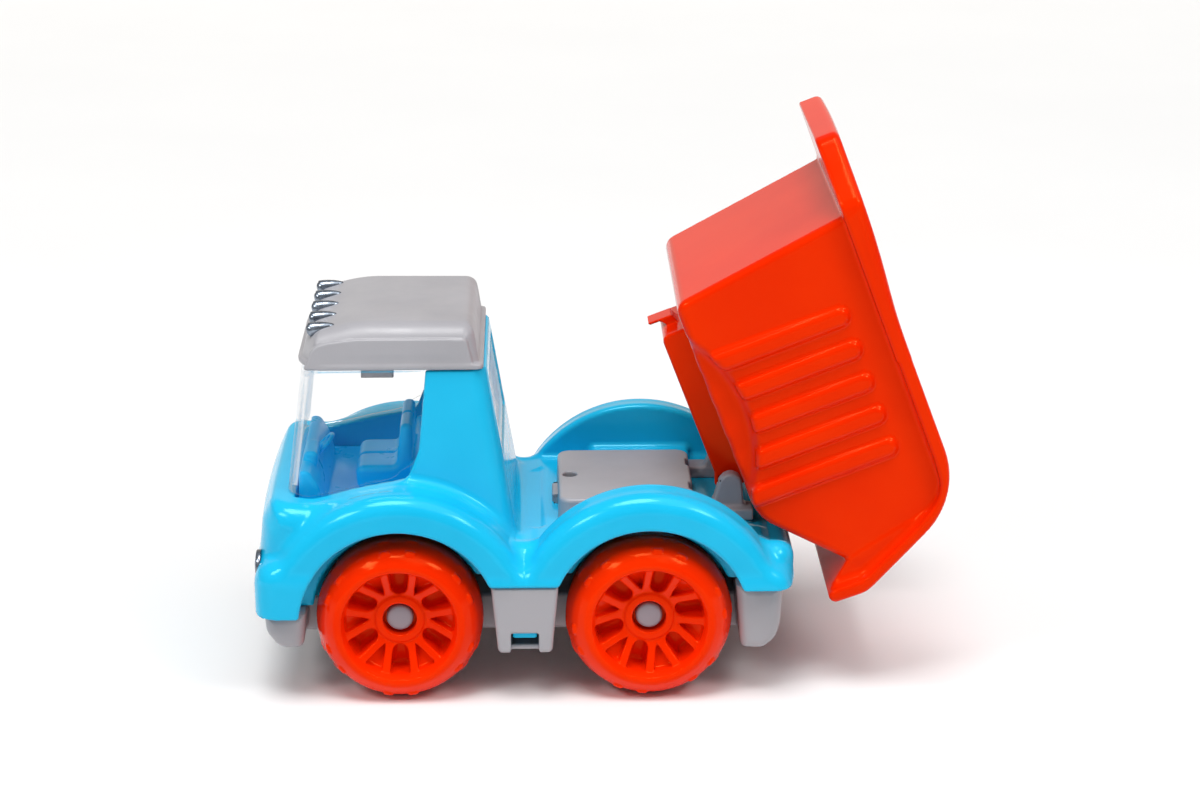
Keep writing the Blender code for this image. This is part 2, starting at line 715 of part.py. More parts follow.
def make_hinge_base():
    bottom, top = DECK_TOP + GAP, BASE_TOP
    half = BASE_HALF_WIDTH
    plan = rounded([(-22.0, -half, 3.0), (40.0, -half, 5.0), (40.0, half, 5.0), (-22.0, half, 3.0)], 3)
    base = add(extrusion("hinge_base", plan, bottom, top, upright=False), "hinge_base")
    for side, sign in SIDES.items():
        arm = sorted((sign * 22.4, sign * half))
        join(base, box("a", (-48.0, -20.0), arm, (bottom, 77.0)), f"{side}_arm")
        post = sorted((sign * 22.4, sign * 29.4))
        join(base, extrusion("h", horn_outline(), *post), f"{side}_horn")
        seat = (BED_PIVOT_X, sign * 25.0, BED_PIVOT_Z)
        cut(base, rod("p", seat, PIN_RADIUS + GAP, 6.4, sides=16), f"{side}_pin_seat")
    cut(base, rod("l", (BASE_SCREW_X, 0.0, top), 3.25, 2.0 * (top - 76.0), "Z", 20), "screw_recess")
    cut(base, rod("s", (BASE_SCREW_X, 0.0, bottom), 1.7, 12.0, "Z", 8), "screw_hole")
    join(base, box("t", (39.0, 42.5), (-10.0, 10.0), (bottom, 75.6)), "front_lug")
    join(base, box("c", (40.6, 42.5), (-7.0, 7.0), (66.6, 74.0)), "front_clip")
    return finish(base, "grey")


def make_pins():
    for side, sign in SIDES.items():
        place = (BED_PIVOT_X, sign * 22.0, BED_PIVOT_Z)
        pin = add(rod("pin", (0.0, 0.0, 0.0), PIN_RADIUS, 11.6, "Y", 16), f"hinge_pin_{side}", None, place)
        bevel(pin, 0.4, 1)
        finish(pin, "steel")


# Bed


def to_bed(obj):
    """Hangs a piece, drawn lowered, on the bed's hinge."""
    obj.parent = BED_HINGE
    obj.location = Vector((-BED_PIVOT_X, 0.0, -BED_PIVOT_Z)) * MM
    return obj


def bed_join(bed, mesh, name):
    return to_bed(join(bed, mesh, name))


def bed_cut(bed, mesh, name):
    return to_bed(cut(bed, mesh, name))


def front_wall_x(height):
    return 60.0 + (height - 98.8) * 0.1375


def tub_outline(top):
    """Side view of the tub: floor, tail that sweeps up to the rear, and front wall."""
    return rounded(
        [
            (front_wall_x(BED_FLOOR), BED_FLOOR, 6.0),
            (front_wall_x(top), top),
            (-63.0, top, 20.0),
            (-77.0, 140.0, 8.0),
            (-80.7, 127.6),
            (-46.0, BED_FLOOR, 20.0),
        ],
        5,
    )


def tub_room_outline():
    """The inside of the tub, open above and behind."""
    floor = BED_FLOOR + WALL
    tail = (-110.0, floor + (110.0 - 45.0) * TAIL_SLOPE)
    wall = front_wall_x(floor) - WALL
    top = front_wall_x(200.0) - WALL
    return rounded([(wall, floor, 4.0), (top, 200.0), (-110.0, 200.0), tail, (-45.0, floor, 18.0)], 4)


def rim_outline():
    """Side view of the rim: level along the top, then curving down round the open rear end."""
    return rounded(
        [
            (front_wall_x(BED_RIM) + 2.0, BED_RIM),
            (-67.1, BED_RIM, 38.0),
            (-94.3, 130.2, 15.0),
            (-93.8, 113.9, 2.5),
            (-90.0, 112.9, 1.5),
            (-79.6, 125.5),
            (-76.8, 134.0, 6.0),
            (-67.3, BED_SKIRT, 17.0),
            (front_wall_x(BED_SKIRT) + 2.0, BED_SKIRT),
        ],
        5,
    )


def guard_plan(back, inset):
    """Plan of the cab guard in front of the tub, from the line X = back."""
    half = RIM_HALF_WIDTH + 0.4 - inset
    tip, tip_half = 100.9 - inset, 37.5 - inset * 0.6
    shoulder = 76.0 - inset * 0.4
    corner = 4.0 - inset
    return rounded(
        [
            (back, -half),
            (shoulder, -half, corner),
            (tip, -tip_half, 6.0 - inset),
            (tip, tip_half, 6.0 - inset),
            (shoulder, half, corner),
            (back, half),
        ],
        3,
    )


def make_bed():
    half, belly = BED_HALF_WIDTH, BELLY_HALF_WIDTH
    bed = to_bed(add(extrusion("dump_bed", tub_outline(180.0), -half, half), "dump_bed"))
    bevel(bed, 1.8, 1, 60.0)
    for number in range(5):
        x = 29.0 - 16.0 * number
        for side, sign in SIDES.items():
            ends = sorted((sign * (half - 1.0), sign * (half + 2.5)))
            rib = bed_join(bed, box("r", (x - 4.4, x + 4.4), ends, (92.0, 165.7)), f"{side}_rib_{number + 1}")
            bevel(rib, 1.2, 1)
    for side, sign in SIDES.items():
        where = (RELIEF_CENTRE[0], sign * (belly + 5.0), RELIEF_CENTRE[1])
        bed_cut(bed, rod("v", where, RELIEF_RADIUS, 10.0, sides=64), f"{side}_fender_relief")
    bed_join(bed, extrusion("m", rim_outline(), -RIM_HALF_WIDTH, RIM_HALF_WIDTH), "rim")
    bed_join(bed, extrusion("g", guard_plan(66.0, 0.0), BED_SKIRT - 0.5, GUARD_TOP, upright=False), "guard")
    bed_cut(bed, extrusion("h", guard_plan(72.2, 2.2), 170.0, GUARD_TOP - 2.4, upright=False), "guard_hollow")
    room = bed_cut(bed, extrusion("i", tub_room_outline(), WALL - half, half - WALL), "room")
    for side, sign in SIDES.items():
        where = (RELIEF_CENTRE[0], sign * (belly - WALL + 6.0), RELIEF_CENTRE[1])
        wall = add(rod("k", where, RELIEF_RADIUS + WALL, 12.0, sides=64), f"{side}_relief_wall")
        boolean(room, to_bed(wall), "DIFFERENCE")
    return finish(bed, "orange")


def channel_outline():
    """Side view of the subframe: a level channel whose rear end turns round the hinge pins."""
    top, low, front = BED_FLOOR - GAP, SUBFRAME_BOTTOM, SUBFRAME_FRONT
    rear = arc(BED_PIVOT_X, BED_PIVOT_Z, 5.0, 180.0, 262.0, 5)
    nose = rounded([(-31.0, low), (front, low, 3.5), (front, top)], 4)[:-1]
    return [(front, top), (BED_PIVOT_X - 5.0, top)] + rear + nose


def make_subframe():
    top = BED_FLOOR - GAP
    frame = to_bed(add(extrusion("bed_subframe", channel_outline(), -20.0, 20.0), "bed_subframe"))
    wall = SUBFRAME_FRONT - WALL
    roof = top - WALL
    inside = [(wall, 78.0), (wall, roof), (-28.0, roof), (-28.0, 110.0), (-60.0, 110.0), (-60.0, 78.0)]
    bed_cut(frame, extrusion("i", inside, -17.4, 17.4), "inside")
    where = (BED_PIVOT_X, 0.0, BED_PIVOT_Z)
    bed_cut(frame, rod("p", where, PIN_RADIUS + GAP, 60.0, sides=16), "pin_holes")
    front = SUBFRAME_FRONT
    tongue = [(front - 1.0, 88.5), (front - 1.0, 92.5), (front + 4.0, 90.5), (front + 4.0, 79.5)]
    tongue += [(front + 3.1, 79.5), (front + 3.1, 84.5)]
    bed_join(frame, extrusion("l", tongue, -6.0, 6.0), "latch_tongue")
    return finish(frame, "orange")


def build():
    make_body()
    make_rear_window()
    make_glazing()
    make_roof()
    make_lamps()
    make_headlights()
    make_interior()
    make_steering_wheel()
    make_chassis()
    make_screws()
    make_axles()
    make_caps()
    make_wheels()
    make_hinge_base()
    make_pins()
    make_bed()
    make_subframe()


build()
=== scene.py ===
"""The looks of the toy dump truck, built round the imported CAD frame.

Moulded pieces are made from distance fields, in millimetres in the truck frame: X from the rear axle, Y to
the left, Z from the ground, and the bed as it lies when lowered. Each is meshed on a grid, its points are
pulled on to the true surface, and its normals come from the field, so fillets shade as clean mouldings.
"""

import json
import math

import bmesh
import bpy
import numpy as np
from mathutils import Matrix, Vector


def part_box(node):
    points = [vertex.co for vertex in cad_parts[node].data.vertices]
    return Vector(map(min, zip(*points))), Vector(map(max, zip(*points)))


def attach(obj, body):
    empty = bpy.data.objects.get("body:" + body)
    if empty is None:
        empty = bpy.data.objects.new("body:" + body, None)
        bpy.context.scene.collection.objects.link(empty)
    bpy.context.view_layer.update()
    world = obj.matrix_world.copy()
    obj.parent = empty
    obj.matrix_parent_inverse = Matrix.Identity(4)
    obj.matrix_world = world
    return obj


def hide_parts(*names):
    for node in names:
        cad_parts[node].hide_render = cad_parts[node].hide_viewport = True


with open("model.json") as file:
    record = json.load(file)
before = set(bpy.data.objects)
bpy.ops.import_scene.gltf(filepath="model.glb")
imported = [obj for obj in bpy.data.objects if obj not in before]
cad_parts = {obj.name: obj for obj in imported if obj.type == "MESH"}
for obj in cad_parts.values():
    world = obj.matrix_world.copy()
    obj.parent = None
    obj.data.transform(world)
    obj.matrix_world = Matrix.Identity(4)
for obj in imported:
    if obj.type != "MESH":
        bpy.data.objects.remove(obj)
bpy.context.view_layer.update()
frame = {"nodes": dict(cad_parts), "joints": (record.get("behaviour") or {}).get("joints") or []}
JOINTS = {joint["name"]: joint for joint in frame["joints"]}

MM = 0.001
REAR = JOINTS["rear_left_roll"]["pos_m"]
FRONT = JOINTS["front_left_roll"]["pos_m"]
HINGE = JOINTS["bed_tilt"]["pos_m"]
ORIGIN_X = REAR[0]
AXLE_Z = REAR[2] * 1000.0
WHEELBASE = (FRONT[0] - REAR[0]) * 1000.0
PIVOT = ((HINGE[0] - ORIGIN_X) * 1000.0, HINGE[2] * 1000.0)
TILT = math.radians(JOINTS["bed_tilt"]["range_deg"][1])
ROOT = "truck"
BED = "bed"
BED_NODES = ("dump_bed", "bed_subframe")
AXLES = (0.0, WHEELBASE)
SIDES = (("left", 1.0), ("right", -1.0))
BORE = 2.8  # radius of the holes for the axles and the hinge pins


# Outlines


def arc(centre_x, centre_z, radius, start, end, steps):
    """Points along an arc between two angles in degrees."""
    angles = np.radians(np.linspace(start, end, steps + 1))
    return [(centre_x + radius * math.cos(t), centre_z + radius * math.sin(t)) for t in angles]


def rounded(points, steps=8):
    """The outline with each corner that has a third number rounded to that radius."""
    outline = []
    for index, point in enumerate(points):
        if len(point) == 2:
            outline.append(tuple(point))
            continue
        here = Vector(point[:2])
        before = (Vector(points[index - 1][:2]) - here).normalized()
        after = (Vector(points[(index + 1) % len(points)][:2]) - here).normalized()
        half = before.angle(after) / 2.0
        middle = here + (before + after).normalized() * (point[2] / math.sin(half))
        first = here + before * (point[2] / math.tan(half)) - middle
        turn = first.angle_signed(here + after * (point[2] / math.tan(half)) - middle)
        for step in range(steps + 1):
            outline.append(tuple(middle + Matrix.Rotation(-turn * step / steps, 2) @ first))
    return outline


# Distance fields


def polygon(outline, u, v):
    """Signed distance to a closed outline, negative inside."""
    points = np.array(outline, np.float32)
    best = np.full(np.broadcast(u, v).shape, 1e9, np.float32)
    inside = np.zeros(best.shape, bool)
    for (ax, ay), (bx, by) in zip(points, np.roll(points, -1, axis=0)):
        ex, ey = bx - ax, by - ay
        wx, wy = u - ax, v - ay
        share = np.clip((wx * ex + wy * ey) / max(ex * ex + ey * ey, 1e-9), 0.0, 1.0)
        best = np.minimum(best, (wx - ex * share) ** 2 + (wy - ey * share) ** 2)
        crosses = (ay <= v) != (by <= v)
        inside ^= crosses & (u < ax + (v - ay) * (ex / ey if ey else 0.0))
    distance = np.sqrt(best)
    return np.where(inside, -distance, distance)


def meet(a, b, r):
    """Intersection with an edge rounded to radius r."""
    return np.minimum(-r, np.maximum(a, b)) + np.hypot(np.maximum(a + r, 0.0), np.maximum(b + r, 0.0))


def fuse(a, b, r):
    """Union with an inside corner filled to radius r."""
    return np.maximum(r, np.minimum(a, b)) - np.hypot(np.maximum(r - a, 0.0), np.maximum(r - b, 0.0))


def carve(a, b, r):
    """a without b, the edge rounded to radius r."""
    return meet(a, -b, r)


def block(u, v, w, centre, half, r):
    """Box with rounded edges."""
    q = [np.abs(value - c) - h + r for value, c, h in zip((u, v, w), centre, half)]
    outside = np.sqrt(sum(np.maximum(part, 0.0) ** 2 for part in q))
    return outside + np.minimum(np.maximum(np.maximum(q[0], q[1]), q[2]), 0.0) - r


def capsule(u, v, ends, r):
    """Stadium shape round a straight line in a plane."""
    (ax, ay), (bx, by) = ends
    ex, ey = bx - ax, by - ay
    share = np.clip(((u - ax) * ex + (v - ay) * ey) / (ex * ex + ey * ey), 0.0, 1.0)
    return np.hypot(u - ax - ex * share, v - ay - ey * share) - r


def slope(value, low, high):
    """0 before low, 1 after high and smooth between."""
    t = np.clip((value - low) / (high - low), 0.0, 1.0)
    return t * t * (3.0 - 2.0 * t)


# Meshing


CORNERS = [(i, j, k) for i in (0, 1) for j in (0, 1) for k in (0, 1)]


def crossing_points(values, cells):
    """For each cell, the middle of the places where the field changes sign along its edges."""
    total = np.zeros((len(cells), 3))
    hits = np.zeros(len(cells))
    for axis in range(3):
        for corner in CORNERS:
            if corner[axis]:
                continue
            start = cells + corner
            end = start.copy()
            end[:, axis] += 1
            a = values[tuple(start.T)]
            b = values[tuple(end.T)]
            crossing = (a < 0.0) != (b < 0.0)
            share = np.where(crossing, a / np.where(crossing, a - b, 1.0), 0.0)
            point = np.tile(np.array(corner, float), (len(cells), 1))
            point[:, axis] += share
            total += point * crossing[:, None]
            hits += crossing
    return cells + total / hits[:, None]


def net_faces(inside, number):
    """A four-sided face round each grid edge that goes through the surface."""
    faces = []
    for axis in range(3):
        low = np.take(inside, range(inside.shape[axis] - 1), axis=axis)
        high = np.take(inside, range(1, inside.shape[axis]), axis=axis)
        edges = np.argwhere(low != high)
        one, two = (axis + 1) % 3, (axis + 2) % 3
        good = (edges[:, one] > 0) & (edges[:, two] > 0)
        good &= (edges[:, one] < number.shape[one]) & (edges[:, two] < number.shape[two])
        edges = edges[good]
        ring = []
        for step_one, step_two in ((-1, -1), (0, -1), (0, 0), (-1, 0)):
            cell = edges.copy()
            cell[:, one] += step_one
            cell[:, two] += step_two
            ring.append(number[tuple(cell.T)])
        ring = np.stack(ring, axis=1)
        flip = ~low[tuple(edges.T)]
        ring[flip] = ring[flip][:, ::-1]
        faces.append(ring)
    faces = np.concatenate(faces)
    return faces[(faces >= 0).all(axis=1)]


def net(values):
    """Surface net of a sampled field: points in grid units, and four-sided faces."""
    inside = values < 0.0
    shape = tuple(n - 1 for n in values.shape)
    count = np.zeros(shape, np.int8)
    for i, j, k in CORNERS:
        count += inside[i : i + shape[0], j : j + shape[1], k : k + shape[2]]
    cells = np.argwhere((count > 0) & (count < 8))
    number = np.full(shape, -1, np.int32)
    number[tuple(cells.T)] = np.arange(len(cells))
    return crossing_points(values, cells), net_faces(inside, number)


def gradient(field, points, step=0.04):
    """Slope of a field at each point, by differences."""
    parts = []
    for axis in range(3):
        ahead, behind = points.copy(), points.copy()
        ahead[:, axis] += step
        behind[:, axis] -= step
        parts.append((field(*ahead.T) - field(*behind.T)) / (2.0 * step))
    return np.stack(parts, axis=1)


def place(points, lowered):
    """Truck frame in millimetres to the row frame in metres, tipping what is drawn lowered."""
    points = points.copy()
    if lowered:
        x, z = points[:, 0] - PIVOT[0], points[:, 2] - PIVOT[1]
        points[:, 0] = PIVOT[0] + x * math.cos(TILT) - z * math.sin(TILT)
        points[:, 2] = PIVOT[1] + x * math.sin(TILT) + z * math.cos(TILT)
    points *= MM
    points[:, 0] += ORIGIN_X
    return points


def add(name, data):
    """A new object in the scene."""
    obj = bpy.data.objects.new(name, data)
    bpy.context.scene.collection.objects.link(obj)
    return obj


def finish_mesh(name, shape):
    """The mesh of a bmesh, its faces turned outward."""
    bmesh.ops.recalc_face_normals(shape, faces=shape.faces)
    mesh = bpy.data.meshes.new(name)
    shape.to_mesh(mesh)
    shape.free()
    return mesh


def mesh_from(name, points, faces, normals):
    """A smooth mesh with its own normals."""
    mesh = bpy.data.meshes.new(name)
    mesh.vertices.add(len(points))
    mesh.vertices.foreach_set("co", points.astype(np.float32).ravel())
    mesh.loops.add(faces.size)
    mesh.loops.foreach_set("vertex_index", faces.astype(np.int32).ravel())
    mesh.polygons.add(len(faces))
    mesh.polygons.foreach_set("loop_start", np.arange(0, faces.size, faces.shape[1], dtype=np.int32))
    mesh.update(calc_edges=True)
    mesh.validate()
    mesh.shade_smooth()
    mesh.normals_split_custom_set_from_vertices(normals.astype(np.float32))
    return mesh


def settle(field, points, cell):
    """Pulls points on to the surface where the field is zero, none further than most of a cell."""
    start = points
    for _ in range(3):
        slant = gradient(field, points)
        size = np.maximum((slant**2).sum(axis=1), 0.2)
        drift = points - slant * (field(*points.T) / size)[:, None] - start
        length = np.linalg.norm(drift, axis=1)
        limit = np.minimum(1.0, 0.7 * cell / np.maximum(length, 1e-9))
        points = start + drift * limit[:, None]
    return points


def solid(name, field, low, high, cell, lowered=False):
    """A moulded piece: the surface where the field is zero."""
    axes = [np.arange(a - cell, b + 1.5 * cell, cell, dtype=np.float32) for a, b in zip(low, high)]
    grid = (axes[0][:, None, None], axes[1][None, :, None], axes[2][None, None, :])
    shape = tuple(len(axis) for axis in axes)
    values = np.ascontiguousarray(np.broadcast_to(field(*grid), shape).astype(np.float32))
    points, faces = net(values)
    points = settle(field, points * cell + np.array([axis[0] for axis in axes]), cell)
    normals = gradient(field, points, 0.12)
    normals /= np.maximum(np.linalg.norm(normals, axis=1), 1e-9)[:, None]
    if lowered:
        normals = normals @ np.array(Matrix.Rotation(-TILT, 3, "Y")).T
    return add(name, mesh_from(name, place(points, lowered), faces, normals))


def piece(obj, body, replaced, material):
    """Puts a finished piece on its body, in place of its CAD nodes."""
    obj.data.materials.clear()
    obj.data.materials.append(material)
    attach(obj, body)
    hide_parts(*replaced)


# Materials


def linear(red, green, blue):
    """A colour given as 0 to 255, as the shader needs it."""
    levels = [channel / 255.0 for channel in (red, green, blue)]
    return (*[v / 12.92 if v <= 0.04045 else ((v + 0.055) / 1.055) ** 2.4 for v in levels], 1.0)


def node(tree, kind, **inputs):
    made = tree.nodes.new(kind)
    for name, value in inputs.items():
        made.inputs[name.replace("_", " ")].default_value = value
    return made


def start_material(name):
    """A new material, with its tree and its shader."""
    material = bpy.data.materials.new(name)
    material.use_nodes = True
    tree = material.node_tree
    return material, tree, tree.nodes["Principled BSDF"]


def noise(tree, scale, detail, **more):
    """Noise that is fixed to the object."""
    texture = node(tree, "ShaderNodeTexNoise", Scale=scale, Detail=detail, **more)
    place_at = tree.nodes.new("ShaderNodeTexCoord")
    tree.links.new(place_at.outputs["Object"], texture.inputs["Vector"])
    return texture


def tones(tree, texture, low, high, start=0.0, end=1.0):
    """Colour that follows a texture from one tone to another."""
    ramp = tree.nodes.new("ShaderNodeValToRGB")
    first, last = ramp.color_ramp.elements
    first.position, first.color = start, low
    last.position, last.color = end, high
    tree.links.new(texture.outputs["Fac"], ramp.inputs["Fac"])
    return ramp.outputs["Color"]


def spread(tree, texture, low, high, start=0.0, end=1.0):
    """A value that follows a texture between two limits."""
    made = node(tree, "ShaderNodeMapRange", From_Min=start, From_Max=end, To_Min=low, To_Max=high)
    tree.links.new(texture.outputs["Fac"], made.inputs["Value"])
    return made.outputs["Result"]


def relief(tree, texture, strength, distance, under=None):
    """Small relief that follows a texture, on top of another relief if one is given."""
    made = node(tree, "ShaderNodeBump", Strength=strength, Distance=distance)
    tree.links.new(texture.outputs["Fac"], made.inputs["Height"])
    if under is not None:
        tree.links.new(under, made.inputs["Normal"])
    return made.outputs["Normal"]


def plastic(name, colour, dark, rough, grain=0.02, tint=(1.0, 1.0, 1.0), specular=0.5, painted_glow=0.0):
    """Moulded plastic: pigment that varies a little, a fine skin, and gloss that comes and goes. With a glow
    above zero the pigment also glows a little, which is painted light and not a lamp.
    """
    material, tree, shader = start_material(name)
    shader.inputs["Specular IOR Level"].default_value = specular
    shader.inputs["Specular Tint"].default_value = (*tint, 1.0)
    pigment = tones(tree, noise(tree, 22.0, 3.0), linear(*dark), linear(*colour), 0.3, 0.62)
    tree.links.new(pigment, shader.inputs["Base Color"])
    # painted light: the pigment glows a little, brightening the part as if more light reached it
    if painted_glow > 0.0:
        tree.links.new(pigment, shader.inputs["Emission Color"])
        shader.inputs["Emission Strength"].default_value = painted_glow
    gloss = spread(tree, noise(tree, 70.0, 5.0, Roughness=0.6), rough * 0.82, rough * 1.22, 0.3, 0.7)
    tree.links.new(gloss, shader.inputs["Roughness"])
    fine = relief(tree, noise(tree, 900.0, 2.0), grain, 0.0004)
    soft = relief(tree, noise(tree, 38.0, 1.0), 0.05, 0.001, fine)
    tree.links.new(soft, shader.inputs["Normal"])
    return material


def clear_plastic(name):
    """Thin clear moulding: it mirrors at a glance and is see-through face on, with slight streaks."""
    material, tree, shader = start_material(name)
    shader.inputs["Metallic"].default_value = 1.0
    streak = noise(tree, 45.0, 4.0)
    tone = tones(tree, streak, (0.86, 0.9, 0.93, 1.0), (0.97, 0.98, 0.99, 1.0))
    tree.links.new(tone, shader.inputs["Base Color"])
    tree.links.new(spread(tree, streak, 0.02, 0.09), shader.inputs["Roughness"])
    edge = node(tree, "ShaderNodeFresnel", IOR=1.3)
    tree.links.new(spread(tree, edge, 0.004, 0.5, 0.02), shader.inputs["Alpha"])
    ripple = relief(tree, noise(tree, 30.0, 1.0), 0.06, 0.001)
    tree.links.new(ripple, shader.inputs["Normal"])
    return material


def metal(name, colour, rough, scratches=250.0, depth=0.8):
    """Plated metal, with tones from the colour down to a share of it."""
    material, tree, shader = start_material(name)
    shader.inputs["Metallic"].default_value = 0.92
    marks = noise(tree, scratches, 4.0)
    dark = [channel * depth for channel in colour]
    tree.links.new(tones(tree, marks, linear(*dark), linear(*colour)), shader.inputs["Base Color"])
    tree.links.new(spread(tree, marks, rough * 0.7, rough * 1.4), shader.inputs["Roughness"])
    tree.links.new(relief(tree, marks, 0.08, 0.0002), shader.inputs["Normal"])
    return material


ORANGE_TINT = (1.0, 0.3, 0.06)
BLUE_TINT = (0.35, 0.85, 1.0)
BLUE = plastic("blue_moulding", (26, 188, 232), (20, 181, 226), 0.16, tint=BLUE_TINT)
# The inside of the cab glows a little: painted light that lifts it out of the shade under the roof and behind
# the glass.
INNER_BLUE = plastic("inner_blue_painted_glow_moulding", (16, 186, 244), (10, 174, 236), 0.3, tint=BLUE_TINT, painted_glow=0.12)
GREY = plastic("grey_moulding", (164, 163, 168), (156, 155, 160), 0.36, grain=0.08)
CAP_GREY = plastic("cap_moulding", (150, 144, 152), (140, 134, 142), 0.35, grain=0.05)
ORANGE = plastic("orange_moulding", (234, 40, 0), (228, 33, 0), 0.14, tint=ORANGE_TINT, specular=0.38)
WHEEL_ORANGE = plastic("wheel_moulding", (242, 44, 1), (236, 36, 0), 0.1, tint=ORANGE_TINT, specular=0.36)
CLEAR = clear_plastic("clear_moulding")
LAMP = metal("silvered_lamp", (184, 196, 212), 0.22, 330.0, 0.3)
STEEL = metal("plated_steel", (178, 178, 182), 0.3)


# Body


BODY_HALF = 72.5
FENDER_INNER = 54.0
DECK = 72.0
TAIL_DECK = 69.6
SILL = 78.8
ROOF_LINE = 147.6
BELOW = 20.0  # outlines close here, under the body's lower edge
TAIL_X = -65.5
NOSE_X = 178.0
COWL_HALF = 64.5
FENDER = 60.0  # radius of the outside of the fenders
ARCH = 44.2  # radius of the wheel openings
INNER_ARCH = 38.7  # radius of the openings behind the wheels
CAB_WALL = 2.8
PANE_Z = 123.5
CLIP_X = 55.4  # the body's clips and the step boxes
LAMP_Y = 53.0
LAMP_Z = 60.0


def body_side():
    """Side view of the hood, the fenders' crests and the tail, running on below the lower edge."""
    shoulder = 71.2
    radius = FENDER - 1.0
    start = math.degrees(math.asin((shoulder - AXLE_Z) / radius))
    points = rounded([(TAIL_X + 0.9, BELOW), (TAIL_X + 0.9, shoulder, 8.0), (-52.0, shoulder)])[:-1]
    points += arc(0.0, AXLE_Z, radius, 180.0 - start, start, 40)
    points += arc(WHEELBASE, AXLE_Z, radius, 180.0 - start, 76.0, 26)
    nose = [(125.5, 94.4), (149.0, 90.0, 14.0), (NOSE_X - 11.4, 91.6, 5.0), (NOSE_X - 4.4, 82.0, 12.0)]
    points += rounded(nose + [(NOSE_X - 0.2, 62.0, 24.0), (NOSE_X - 1.4, BELOW)], 6)[1:]
    return points


def skirt_side():
    """Side view of the band along the bottom of the body: tail, valley and front apron."""
    corners = [(TAIL_X, BELOW), (TAIL_X, 60.5, 8.0), (60.0, 60.5), (160.0, 63.5)]
    return rounded(corners + [(NOSE_X + 0.2, 66.5, 10.0), (NOSE_X - 1.4, BELOW)])


def window_side():
    """Side view of the opening for the clear moulding, open at the top and the front."""
    corners = [(97.6, 152.0), (101.6, 111.6, 14.0), (106.6, 98.8, 6.0), (126.0, 95.4, 30.0)]
    return rounded(corners + [(149.0, 90.3, 20.0), (172.0, 92.5), (172.0, 152.0)])


def rear_wall(z):
    """X of the back of the cab, which leans forward."""
    return 59.6 + (z - 77.0) * 0.165


def well_side():
    """Side view of the space over the deck."""
    deck = [(-90.0, TAIL_DECK), (-54.0, TAIL_DECK), (-50.5, DECK), (rear_wall(DECK), DECK)]
    return deck + [(rear_wall(170.0), 170.0), (-90.0, 170.0)]


def lower_side():
    """Side view of what is cut away under the body's lower edge."""
    tail, middle, front = 53.2, 55.8, 41.5
    edge = [(-80.0, -5.0), (-80.0, tail), (0.0, tail), (0.0, middle), (WHEELBASE, middle)]
    return edge + [(WHEELBASE, front), (190.0, front), (190.0, -5.0)]


BODY_SIDE = body_side()
SKIRT_SIDE = skirt_side()
WELL_SIDE = well_side()
WINDOW = window_side()
LOWER = lower_side()


def cab_half(z):
    """Half the width of the cab, which narrows upward."""
    return 50.2 - (z - 98.0) * 0.1


def hull(x, a, z):
    """Hood, fenders, skirt and tail, without their openings."""
    upper = meet(x - NOSE_X + 0.0012 * a * a, a - COWL_HALF, 18.0)
    upper = meet(polygon(BODY_SIDE, x, z), upper, 10.0)
    plan = meet(np.maximum(x - NOSE_X + 0.8 + 0.0005 * a * a, TAIL_X - x), a - BODY_HALF, 11.0)
    skirt = polygon(SKIRT_SIDE, x, z)
    rings = np.minimum(np.hypot(x, z - AXLE_Z), np.hypot(x - WHEELBASE, z - AXLE_Z)) - FENDER
    flares = np.maximum(meet(fuse(rings, skirt, 7.0), plan, 8.0), 40.0 - a)
    return fuse(fuse(upper, meet(skirt, plan, 8.0), 4.0), flares, 4.0)


def cab_shell(x, a, z):
    """Back wall and pillars of the cab."""
    cab = meet((rear_wall(z) - x) * 0.985, a - cab_half(z), 8.0)
    cab = meet(cab, z - ROOF_LINE, 0.6)
    return np.maximum(np.maximum(cab, x - 130.0), 66.0 - z)


def cab_room(x, a, z):
    """The space inside the cab."""
    room = meet(rear_wall(z) + CAB_WALL - x, a - cab_half(z) + CAB_WALL, 6.0)
    return np.maximum(meet(room, SILL - z, 1.5), x - 156.8)


def open_wheels(shape, x, a, z):
    """Cuts the wheel openings and the hollows under the fenders."""
    pad = block(x, a, z, (0.0, 50.5, 71.5), (23.5, 6.2, 5.6), 2.5)
    shape = fuse(shape, pad, 2.5)
    for axle_x in AXLES:
        radial = np.hypot(x - axle_x, z - AXLE_Z)
        shape = carve(shape, meet(radial - INNER_ARCH, 44.5 - a, 2.0), 0.4)
        hollow = meet(np.abs(a - 63.2) - 6.2, radial - 55.8, 6.2)
        shape = carve(shape, hollow, 0.6)
        shape = carve(shape, meet(radial - ARCH, 57.0 - a, 2.0), 1.4)
    return shape


def open_back(shape, x, a, z):
    """Cuts the rear window and the shallow step round it."""
    level = np.abs(z - PANE_Z)
    depth = np.abs(x - rear_wall(z))
    shape = carve(shape, np.maximum(np.maximum(level - 15.5, a - 34.0), depth - 8.0), 1.0)
    return carve(shape, np.maximum(meet(level - 18.0, a - 36.5, 2.5), depth - 0.9), 0.5)


def body_field(x, y, z):
    a = np.abs(y)
    shape = carve(hull(x, a, z), meet(polygon(WELL_SIDE, x, z), a - FENDER_INNER, 2.5), 3.0)
    shape = fuse(shape, cab_shell(x, a, z), 5.0)
    shape = carve(shape, np.maximum(polygon(WINDOW, x, z), a - 60.0), 1.0)
    shape = carve(shape, cab_room(x, a, z), 0.8)
    shape = open_wheels(shape, x, a, z)
    shape = carve(shape, polygon(LOWER, x, z), 1.0)
    shape = open_back(shape, x, a, z)
    clip = block(x, a, z, (CLIP_X, 68.8, 45.0), (5.4, 1.3, 14.4), 0.6)
    shape = np.minimum(shape, clip)
    lamp = np.maximum(np.hypot(a - LAMP_Y, z - LAMP_Z) - 7.6, np.abs(x - 176.6) - 2.6)
    return carve(shape, lamp, 0.6)


# Bed


